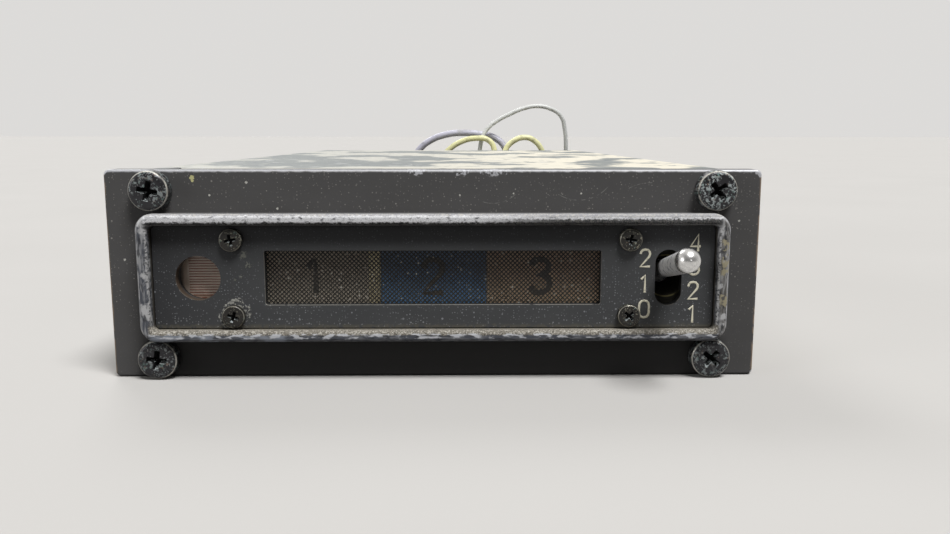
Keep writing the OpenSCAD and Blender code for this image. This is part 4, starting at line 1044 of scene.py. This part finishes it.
@dataclass
class Studio:
    """Camera at the photograph's angle, pale floor, and soft light from above with a fill at the left."""

    position: Point = (3.50, -190.45, 30.99)
    pitch_deg: float = 8.75
    yaw_deg: float = 0.86
    roll_deg: float = -0.04
    focal_px: float = 850.9
    image_w: int = 950
    sensor_mm: float = 36.0
    clip_mm: float = 5.0
    floor_size_m: float = 80.0
    floor_drop_mm: float = 0.02
    floor_colour: str = "#c2c0bd"
    floor_mottle: str = "#bdbbb8"
    floor_return: str = "#343332"
    suns: tuple[tuple[str, Point, float], ...] = (
        ("key", (0.27, -0.37, 1.0), 3.5),
        ("back", (-0.35, 0.75, 0.75), 0.8),
        ("side", (-0.9, -0.4, 0.25), 0.5))
    softness_deg: float = 24.0
    ambient: float = 0.18
    background: float = 0.72
    room_front_back: tuple[float, float] = (-0.9, 0.5)
    room_dark_light: tuple[float, float] = (0.2, 0.75)
    air: tuple[float, float, float, float] = (1.0, 0.985, 0.965, 1.0)

    def build(self) -> None:
        """Set the camera, floor, world and lamps."""
        self._camera()
        self._floor()
        self._world()
        for sun in self.suns:
            self._sun(*sun)
        bpy.context.scene.view_settings.view_transform = "Standard"

    def _camera(self) -> None:
        """Place the camera."""
        pitch, yaw, roll = (math.radians(a) for a in (self.pitch_deg, self.yaw_deg, self.roll_deg))
        ahead = Vector((math.sin(yaw) * math.cos(pitch), math.cos(yaw) * math.cos(pitch), -math.sin(pitch)))
        level = Vector((math.cos(yaw), -math.sin(yaw), 0))
        down = ahead.cross(level)
        right = math.cos(roll) * level + math.sin(roll) * down
        up = math.sin(roll) * level - math.cos(roll) * down
        data = bpy.data.cameras.new("camera")
        data.sensor_width = self.sensor_mm
        data.lens = self.focal_px * self.sensor_mm / self.image_w
        data.clip_start = self.clip_mm * MM
        camera = put("camera", data)
        turn = Matrix((right, up, -ahead)).transposed().to_4x4()
        camera.matrix_world = Matrix.Translation(Vector(self.position) * MM) @ turn
        bpy.context.scene.camera = camera

    def _floor(self) -> None:
        """Lay the floor just under the case, pale to the camera and dull to the light that it returns."""
        floor = start(bpy.ops.mesh.primitive_plane_add, "floor", size=self.floor_size_m,
                      location=(0, 0, -self.floor_drop_mm * MM))
        s = Surface("pale_floor")
        path = s.add("ShaderNodeLightPath").outputs
        seen = s.most(path["Is Camera Ray"], path["Is Glossy Ray"], path["Is Transmission Ray"])
        pale = s.paint(self.floor_colour, (s.cloud(60.0, 2.0), self.floor_mottle))
        tone = s.paint(self.floor_return, (seen, pale))
        coat(floor, s.done(base_color=tone, roughness=0.9, specular_ior_level=0.1))

    def _world(self) -> None:
        """Pale backdrop that metal and glass show too, with a dimmer room in front."""
        s = Surface("surroundings", world=True)
        path = s.add("ShaderNodeLightPath").outputs
        seen = s.most(path["Is Glossy Ray"], path["Is Transmission Ray"])
        depth = s.add("ShaderNodeSeparateXYZ", {"Vector": s.place}).outputs["Y"]
        around = s.ramp(depth, *self.room_front_back, *self.room_dark_light)
        strength = s.levels(self.ambient, (seen, around), (path["Is Camera Ray"], self.background))
        light = s.add("ShaderNodeBackground", {"Color": self.air, "Strength": strength})
        s.add("ShaderNodeOutputWorld", {"Surface": light.outputs[0]})
        bpy.context.scene.world = s.owner

    def _sun(self, name: str, towards: Point, strength: float) -> None:
        """Hang a soft distant lamp.

        Args:
            name: Name of the lamp.
            towards: Direction from the object to the lamp.
            strength: Its irradiance.
        """
        data = bpy.data.lights.new(name, "SUN")
        data.energy = strength
        data.angle = math.radians(self.softness_deg)
        lamp = put(name, data)
        lamp.location = towards
        lamp.rotation_euler = (-Vector(towards)).to_track_quat("-Z", "Y").to_euler()


@dataclass(frozen=True)
class Wire:
    """One free wire: its cavity in the plug, finish, and route behind the plug's back face."""

    key: str
    column: int
    row: int
    diameter: float
    finish: WireSleeve
    way: Spots


@dataclass
class Harness:
    """The four free wires, cut off square a short way from the plug."""

    plug_back: Point = (14.0, 97.0, 13.25)
    pin_pitch: float = 3.68
    cavity: float = 3.0
    first_stretch: float = 1.8
    steps_round: int = 5
    steps_along: int = 8
    strand_l: float = 2.4
    strand_share: float = 0.1
    strand_sides: int = 10
    strand_round: float = 0.3
    ring_share: float = 2.1
    outer_strands: int = 6
    wires: tuple[Wire, ...] = (
        Wire("clear", 0, 2, 1.46, WireSleeve("clear_ptfe_sleeve", "#f0f1ef", "#dcdedb", 0.2), (
            (-5.4, 5.8, 18.1), (-5.1, 8.8, 21.2), (-4.5, 10.2, 25.4), (-3.7, 11.2, 29.8), (-2, 11.8, 33.2),
            (1.6, 12.2, 36.2), (5.8, 12.5, 38.4), (10.6, 13, 40.4), (15.5, 13.5, 41.3), (20.1, 14, 40.5),
            (24, 14.5, 38), (25.6, 15, 33), (26.1, 15.5, 27.2), (26, 16, 21.6), (25.7, 17, 16),
            (25.1, 18.4, 10.6), (23.8, 20.6, 5.6), (21.2, 23.6, 2), (17, 26.4, 0.75), (12, 28.2, 0.75),
            (6.8, 29, 0.75))),
        Wire("violet", 2, 1, 2.3, WireSleeve("grey_violet_pvc", "#cbcad8", "#b6b5c3"), (
            (2.4, 6.6, 14.6), (3.8, 10, 18), (4.8, 12.2, 22.4), (4.4, 13.6, 27), (0.8, 14.4, 30.4),
            (-5, 14.6, 31.7), (-10.2, 15, 32.1), (-15.6, 15.1, 31.6), (-21.4, 15.4, 29.6), (-25.8, 15.8, 26),
            (-28.4, 16.4, 21), (-29.8, 17.4, 15.6), (-30.8, 19, 10), (-32.2, 21.6, 5), (-35, 24.8, 1.8),
            (-39.4, 27.2, 1.15), (-44.6, 28, 1.15))),
        Wire("yellow_a", 1, 2, 1.9, WireSleeve("pale_yellow_pvc", "#f1efbd", "#dddba2"), (
            (-1.4, 5.4, 18.6), (-0.2, 7.6, 22), (0.6, 8.6, 26), (-1.2, 9, 29.4), (-6, 9.4, 30.2),
            (-11.2, 9.6, 28.9), (-15.2, 9.9, 26.2), (-18, 10.2, 22.6), (-19.6, 11, 18), (-20.6, 12.4, 13.2),
            (-21.2, 14.8, 8.4), (-21.6, 18.2, 3.8), (-21.6, 22.6, 1.2), (-21.2, 27.4, 0.95))),
        Wire("yellow_b", 3, 2, 1.9, WireSleeve("pale_yellow_pvc_b", "#f3f1c0", "#e0dea8"), (
            (5, 5.4, 18.4), (4.2, 7.8, 21.6), (4.3, 9, 25.8), (6.8, 9.6, 29), (11.6, 10, 30.5),
            (15, 10.4, 29), (17.2, 10.6, 26), (18.4, 11, 21.8), (19, 11.8, 17), (18.8, 13.2, 12.4),
            (17.8, 15.4, 7.8), (15.6, 18.4, 3.6), (11.8, 21.4, 1.2), (6.8, 23.4, 0.95))))

    def build(self) -> None:
        """Lay the wires."""
        core = Metal("drawn_copper", "#c98a5a", "#8a5a3a", 0.4).make()
        for wire in self.wires:
            points = self._points(wire)
            sleeve = self._sleeve("sleeve_" + wire.key, points, wire.diameter)
            strands = self._strands("strands_" + wire.key, points, wire.diameter)
            colour = wire.key.split("_")[0]
            finish_piece(sleeve, wire.finish.make(), "insulation_" + colour, "wire_" + wire.key)
            finish_piece(strands, core, "tinned_copper")

    def _points(self, wire: Wire) -> list[Vector]:
        """Route of one wire.

        Args:
            wire: The wire.

        Returns:
            The route's points in metres.
        """
        middle, back, height = self.plug_back
        x = middle + (wire.column - 1.5) * self.pin_pitch
        z = height + (wire.row - 1) * self.pin_pitch
        points = [(x, back - self.cavity, z), (x, back + self.first_stretch, z)]
        points += [(middle + p[0], back + p[1], p[2]) for p in wire.way]
        return [Vector(p) * MM for p in points]

    def _sleeve(self, name: str, points: Sequence[Vector], diameter: float) -> Piece:
        """Insulation as a round curve through the route.

        Args:
            name: Name of the piece.
            points: The route.
            diameter: Its outer diameter.

        Returns:
            The curve.
        """
        sleeve, spline = round_line(name, "BEZIER", diameter, self.steps_round)
        sleeve.data.resolution_u = self.steps_along
        spline.bezier_points.add(len(points) - 1)
        for knot, point in zip(spline.bezier_points, points):
            knot.co = point
            knot.handle_left_type = knot.handle_right_type = "AUTO"
        return sleeve

    def _strands(self, name: str, points: Sequence[Vector], diameter: float) -> Piece:
        """Seven cut strands that stand a little out of the wire's end.

        Args:
            name: Name of the piece.
            points: The route.
            diameter: The wire's diameter.

        Returns:
            The bundle.
        """
        radius = diameter * MM * self.strand_share
        first = start(bpy.ops.mesh.primitive_cylinder_add, name, vertices=self.strand_sides,
                      radius=radius, depth=self.strand_l * MM)
        pick(first, lambda face: abs(face.normal.z) > 0.9)
        bpy.ops.mesh.bevel(offset=radius * self.strand_round, segments=2)
        clear_selection()
        strands = [first]
        for number in range(self.outer_strands):
            angle = math.tau * number / self.outer_strands
            reach = self.ring_share * radius
            place = Matrix.Translation((reach * math.cos(angle), reach * math.sin(angle), 0))
            strands.append(copy_to(first, name + "_copy", place))
        bundle = join(name, strands)
        ahead = (points[-1] - points[-2]).normalized()
        turn = ahead.to_track_quat("Z", "Y").to_matrix().to_4x4()
        bundle.data.transform(Matrix.Translation(points[-1]) @ turn)
        smooth(bundle)
        return bundle


@dataclass(frozen=True)
class Screws:
    """Cross-recessed pan heads of one size in one face, each at an X, a Z and a turn in degrees.

    The shares give the head's rounding, lands, recess and depth by its radius or height.
    """

    name: str
    node: str
    finish: ScrewBlack
    radius: float
    height: float
    shank_r: float
    shank_l: float
    face_y: float
    places: Spots
    sides: int = 64
    round_share: float = 0.42
    round_steps: int = 7
    land_shares: tuple[tuple[float, float], ...] = ((0.14, 0.012), (0.2, 0.006))
    wing_w_share: float = 0.31
    wing_l_share: float = 0.4
    wing_taper: float = 0.6
    recess_share: float = 0.85
    recess_from: float = 1.2
    fillet_share: float = 0.045
    smooth_deg: float = 32.0

    def build(self) -> None:
        """Model one screw and set its copies."""
        recess_y = self.face_y - self.height * RECESS_DARK_SHARE
        heads = tuple((x, z, self.radius, recess_y) for x, z, _ in self.places)
        material = replace(self.finish, heads=heads).make()
        model = self._model(*(size * MM for size in (self.radius, self.height, self.shank_r, self.shank_l)))
        for number, (x, z, turn) in enumerate(self.places, 1):
            at = Matrix.Translation(Vector((x, self.face_y, z)) * MM)
            at @= Matrix.Rotation(math.radians(turn), 4, "Y")
            screw = copy_to(model, f"{self.name}_{number}", at)
            smooth(screw, self.smooth_deg)
            finish_piece(screw, material, "black_oxide_steel", self.node)
        remove(model)

    def _model(self, radius: float, height: float, shank_r: float, length: float) -> Piece:
        """Head with its shank, its back on the plane Y = 0 and its front towards -Y.

        Args:
            radius: Radius of the head in metres.
            height: Height of the head.
            shank_r: Radius of the shank.
            length: Length of the shank.

        Returns:
            The screw.
        """
        screw = start(bpy.ops.mesh.primitive_cylinder_add, self.name, vertices=self.sides, radius=radius,
                      depth=height, location=(0, -height / 2, 0), rotation=(math.pi / 2, 0, 0))
        flat = radius * radius
        pick(screw, lambda face: face.normal.y < -0.9 and face.area > flat)
        bpy.ops.mesh.bevel(offset=height * self.round_share, segments=self.round_steps, profile=0.5)
        pick(screw, lambda face: face.normal.y < -0.9 and face.area > flat)
        for inward, outward in self.land_shares:
            bpy.ops.mesh.inset(thickness=radius * inward, depth=radius * outward)
        pick(screw, lambda face: face.normal.y > 0.9)
        bpy.ops.mesh.inset(thickness=radius - shank_r, depth=0)
        pick(screw, lambda face: face.normal.y > 0.9 and abs(face.center.x) < shank_r * 0.1)
        bpy.ops.mesh.extrude_region_move(TRANSFORM_OT_translate={"value": (0, length, 0)})
        clear_selection()
        cutter = self._cutter(radius, height)
        change(screw, "BOOLEAN", object=cutter, operation="DIFFERENCE", solver="EXACT")
        remove(cutter)
        return screw

    def _cutter(self, radius: float, height: float) -> Piece:
        """Cross with tapered wings and filleted corners, the shape of a cross recess.

        Args:
            radius: Radius of the head in metres.
            height: Height of the head.

        Returns:
            The cutter.
        """
        wide, reach, deep = radius * self.wing_w_share, radius * self.wing_l_share, height * self.recess_share
        top = -height * self.recess_from
        cross = start(bpy.ops.mesh.primitive_cube_add, "cross", size=1, scale=(wide, deep, wide),
                      location=(0, top + deep / 2, 0))
        pick(cross, lambda face: abs(face.normal.y) < 0.5)
        bpy.ops.mesh.inset(thickness=0, depth=reach, use_individual=True)
        pick(cross, lambda face: face.normal.y > 0.9)
        bpy.ops.transform.resize(value=(self.wing_taper, 1, self.wing_taper),
                                 center_override=(0, top + deep, 0))
        clear_selection()
        change(cross, "BEVEL", width=radius * self.fillet_share, segments=3, limit_method="ANGLE",
               angle_limit=math.radians(40))
        return cross


SCREWS = (
    Screws("corner_screw", "corner_screws", ScrewBlack("black_oxide_corner"),
           radius=2.575, height=1.75, shank_r=1.25, shank_l=9.5, face_y=-82.5,
           places=((-35.6, 2.6, 8), (-35.6, 24.2, 12), (35.6, 2.6, 40), (35.6, 24.2, 52))),
    Screws("small_screw", "faceplate_screws",
           ScrewBlack("black_oxide_small", (), "#b3b09c", 0.3, "#8f8c82", 0.1, "#2e2d2c", "#3c3a37"),
           radius=1.475, height=0.75, shank_r=0.76, shank_l=5.5, face_y=-83.6,
           places=((-25.6, 8.25, 20), (-25.6, 18.05, -12), (24.8, 8.25, 45), (24.8, 18.05, 8))))


class Digits:
    """Plain single-stroke numbers, drawn as round lines and pressed flat."""

    SHAPES: dict[str, tuple[tuple[float, float], ...]] = {
        "0": ((0.0, 0.7), (0.04, 0.86), (0.14, 0.97), (0.29, 1.0), (0.44, 0.97), (0.54, 0.86), (0.58, 0.7),
              (0.58, 0.3), (0.54, 0.14), (0.44, 0.03), (0.29, 0.0), (0.14, 0.03), (0.04, 0.14), (0.0, 0.3),
              (0.0, 0.7)),
        "1": ((0.08, 0.78), (0.3, 1.0), (0.3, 0.0)),
        "2": ((0.0, 0.74), (0.03, 0.87), (0.12, 0.97), (0.27, 1.0), (0.43, 0.97), (0.53, 0.86), (0.55, 0.73),
              (0.5, 0.58), (0.0, 0.0), (0.56, 0.0)),
        "3": ((0.0, 0.84), (0.1, 0.96), (0.27, 1.0), (0.43, 0.96), (0.52, 0.84), (0.5, 0.66), (0.38, 0.56),
              (0.2, 0.54), (0.38, 0.52), (0.52, 0.42), (0.56, 0.26), (0.5, 0.1), (0.36, 0.01), (0.2, 0.0),
              (0.06, 0.06), (0.0, 0.18)),
        "4": ((0.44, 0.0), (0.44, 1.0), (0.0, 0.3), (0.58, 0.3)),
    }
    WIDTH = 0.58

    @classmethod
    def draw(cls, name: str, text: str, middle: Point, height: float, stroke: float, thick: float) -> Piece:
        """Draw one number facing -Y.

        Args:
            name: Name of the piece.
            text: The number.
            middle: Its middle in millimetres.
            height: Its height.
            stroke: Width of its line.
            thick: Thickness of its ink.

        Returns:
            The piece.
        """
        number, spline = round_line(name, "POLY", stroke, 3)
        shape = cls.SHAPES[text]
        spline.points.add(len(shape) - 1)
        tall = height - stroke
        for point, (across, up) in zip(spline.points, shape):
            point.co = ((across - cls.WIDTH / 2) * tall * MM, 0, (up - 0.5) * tall * MM, 1)
        activate(number)
        bpy.ops.object.convert(target="MESH")
        number.data.name = name
        flat = Matrix.Diagonal((1, thick / stroke, 1, 1))
        number.data.transform(Matrix.Translation(Vector(middle) * MM) @ flat)
        return number


@dataclass
class LampWindow:
    """Etched mesh over the lenses, and the faint numbers printed behind it."""

    middle: tuple[float, float] = (-0.2, 13.15)
    pocket_w: float = 46.0
    pocket_h: float = 10.2
    front_y: float = -82.4
    mesh_t: float = 0.15
    pitch: float = 0.40
    web: float = 0.14
    web_t: float = 0.06
    web_crown: float = 0.01
    crown_share: float = 0.2
    layer_gap: float = 0.004
    spare_webs: int = 4
    number_gap: float = 0.025
    number_h: float = 5.2
    stroke: float = 0.8
    ink_t: float = 0.03
    number_at: tuple[tuple[str, float], ...] = (("1", -15.4), ("2", -0.2), ("3", 13.6))

    def build(self) -> None:
        """Make the mesh and the numbers."""
        finish_piece(self._mesh(), MeshBlack().make(), "mesh_black", "window_mesh")
        ink = Moulding("number_ink", "#4b4743", "#353331", 0.6, dust="#a59a8c", dust_share=0.35).make()
        for text, x in self.number_at:
            at = (x, self.front_y + self.mesh_t + self.number_gap, self.middle[1])
            number = Digits.draw("lens_number_" + text, text, at, self.number_h, self.stroke, self.ink_t)
            finish_piece(number, ink, "mesh_black")

    def _mesh(self) -> Piece:
        """Two families of slanting webs, trimmed to the pocket.

        Returns:
            The mesh.
        """
        x, z = self.middle
        step = self.pitch * math.sqrt(2) * MM
        count = int((self.pocket_w + self.pocket_h) * MM / step) + self.spare_webs
        families = []
        for side in (-1, 1):
            web = start(bpy.ops.mesh.primitive_cube_add, "web", size=1,
                        scale=(self.web * MM, self.web_t * MM, self.pocket_h * 1.6 * MM),
                        rotation=(0, side * math.pi / 4, 0))
            pick(web, lambda face: face.normal.y < -0.9)
            bpy.ops.mesh.inset(thickness=self.web * MM * self.crown_share, depth=self.web_crown * MM)
            clear_selection()
            change(web, "ARRAY", count=count, use_relative_offset=False, use_constant_offset=True,
                   constant_offset_displace=(step, 0, 0))
            y = self.front_y + self.mesh_t - self.web_t / 2 - self.web_crown + side * self.layer_gap
            web.data.transform(Matrix.Translation((x * MM - count * step / 2, y * MM, z * MM)))
            families.append(web)
        mesh = join("window_mesh_webs", families)
        for side in (-1, 1):
            corner = Vector((x + side * self.pocket_w / 2, 0, z + side * self.pocket_h / 2)) * MM
            for normal in ((side, 0, 0), (0, 0, side)):
                pick(mesh, lambda face: True)
                bpy.ops.mesh.select_all(action="SELECT")
                bpy.ops.mesh.bisect(plane_co=corner, plane_no=normal, use_fill=True, clear_outer=True)
        clear_selection()
        return mesh


@dataclass
class Legend:
    """Plain printed numbers down both sides of the switch."""

    face_y: float = -83.6
    ink_t: float = 0.03
    number_h: float = 2.5
    stroke: float = 0.31
    numbers: tuple[tuple[str, float, float], ...] = (
        ("2", 26.8, 15.65), ("1", 26.8, 12.3), ("0", 26.8, 9.05),
        ("4", 33.15, 17.6), ("3", 33.1, 14.6), ("2", 33.05, 11.45), ("1", 33.05, 8.35))

    def build(self) -> None:
        """Print the numbers."""
        ink = PrintInk().make()
        for place, (text, x, z) in enumerate(self.numbers, 1):
            at = (x, self.face_y - self.ink_t / 2, z)
            number = Digits.draw(f"switch_number_{place}", text, at, self.number_h, self.stroke, self.ink_t)
            finish_piece(number, ink, "faceplate_paint")


@dataclass
class Photocell:
    """Conductor tracks across the photocell's disc."""

    x: float = -30.0
    z: float = 13.15
    face_y: float = -81.2
    radius: float = 2.95
    pitch: float = 0.345
    track: float = 0.11
    track_t: float = 0.05
    proud: float = 0.015
    left: float = -1.85
    shortest: float = 0.2
    inset_share: float = 0.97

    def build(self) -> None:
        """Lay the tracks over the right two thirds of the disc."""
        rows = int(2 * self.radius / self.pitch)
        tracks = []
        for row in range(rows + 1):
            z = (row - rows / 2) * self.pitch
            half = math.sqrt(max(self.radius ** 2 - z * z, self.shortest ** 2)) * self.inset_share
            first = max(-half, self.left)
            middle = Vector((self.x + (half + first) / 2, self.face_y - self.proud, self.z + z))
            size = Vector((half - first, self.track_t, self.track))
            track = start(bpy.ops.mesh.primitive_cube_add, "track", size=1, scale=size * MM,
                          location=middle * MM)
            change(track, "BEVEL", width=self.proud * MM, segments=1)
            tracks.append(track)
        brown = Moulding("cell_track_brown", "#a56a59", "#915949").make()
        finish_piece(join("photocell_tracks", tracks), brown, "photocell_ceramic")


class Dresser:
    """Gives each carried-over CAD node its finish."""

    FINISHES: dict[object, str] = {
        BezelPaint(): "front_bezel",
        FaceplatePaint(): "faceplate",
        CoverPaint(): "top_cover",
        Metal("sheet_aluminium", "#b9bbba", "#8f9290", 0.42, 0.2, (1, 8, 1)):
            "chassis rear_panel panel_rivets",
        Metal("turned_aluminium", "#c2c4c6", "#a0a3a5", 0.32): "corner_blocks board_standoffs cover_nuts",
        Metal("zinc_plated_steel", "#a9abac", "#7f8286", 0.36): "lever_pin rocker_pin board_screws regulator",
        Metal("tinned_sheet", "#c9cbcc", "#a3a6a6", 0.3): "shielding_cans crystal_filter shield_wall",
        Moulding("black_phenolic", "#1f1f20", "#191919"): "lamp_housing transistors integrated_circuits",
        ScrewBlack("blackened_cover_screws", spots="#8d8f88", share=0.2): "cover_screws",
        LensDye("smoky_clear_acrylic", "#c2b3a1", "#fff3df", (-8.6, -7.0, "#fff0c6")): "clear_lens",
        LensDye("dyed_blue_acrylic", "#2d4c6d", "#7db6ee"): "blue_lens",
        LensDye("dyed_amber_acrylic", "#b3967c", "#ffe0bd"): "amber_lens",
        Moulding("lamp_glass", "#ddd8c8", "#b9b3a2", 0.15): "lamps",
        BoardLaminate(): "main_board lamp_board",
        CellCeramic(): "photocell",
        Metal("tinned_copper", "#c8c6c0", "#a09c94", 0.35): "photocell_leads",
        BushingBrass(): "switch_bushing switch_nut",
        Moulding("brick_red_phenolic", "#5a211d", "#451916", 0.42): "switch_body",
        Nickel(): "switch_lever",
        Moulding("natural_nylon", "#e4dfd0", "#d2ccb9", 0.45): "lever_plunger power_socket harness_plug",
        Metal("phosphor_bronze", "#c08a4e", "#94663a", 0.32): "contact_rocker",
        Metal("gilt_brass", "#c9a856", "#a3853f", 0.3): "switch_terminals socket_pins jack_contact",
        Moulding("blue_pvc_sleeve", "#24364f", "#1b2a40", 0.35): "electrolytic_capacitors",
        Moulding("dipped_ceramic", "#b87338", "#9c5f2c", 0.4): "disc_capacitors",
        Moulding("resistor_varnish", "#b08a5c", "#96713f", 0.35): "resistors",
        Metal("silicon_steel_laminations", "#77746d", "#55524b", 0.5, 0.35, (1, 1, 6)): "transformer_core",
        WoundWire(): "transformer_winding",
        Moulding("trimmer_blue", "#2a5f9e", "#234f86", 0.4): "trimmers",
        Moulding("pvc_lead_grey", "#b9b4a4", "#a39e8e", 0.45): "lamp_leads",
        Moulding("pvc_lead_black", "#2b2b2d", "#232324", 0.45): "aerial_lead",
        Metal("dull_nickel_plate", "#b3b1a8", "#8f8c80", 0.36): "aerial_jack jack_nut",
        Moulding("white_ptfe", "#eeede6", "#dedcd2", 0.4): "jack_insulator",
    }

    def build(self) -> None:
        """Build each finish and give it to its nodes."""
        for finish, nodes in self.FINISHES.items():
            material = finish.make()
            for node in nodes.split():
                coat(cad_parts[node], material)
            LOG.info("finish %s on %s", finish.name, nodes)


def main() -> None:
    """Build the scene in order."""
    logging.basicConfig(level=logging.INFO, format="%(name)s: %(message)s")
    for part in (Studio(), Harness(), Dresser(), *SCREWS, LampWindow(), Legend(), Photocell()):
        part.build()


if __name__ == "__main__":
    main()
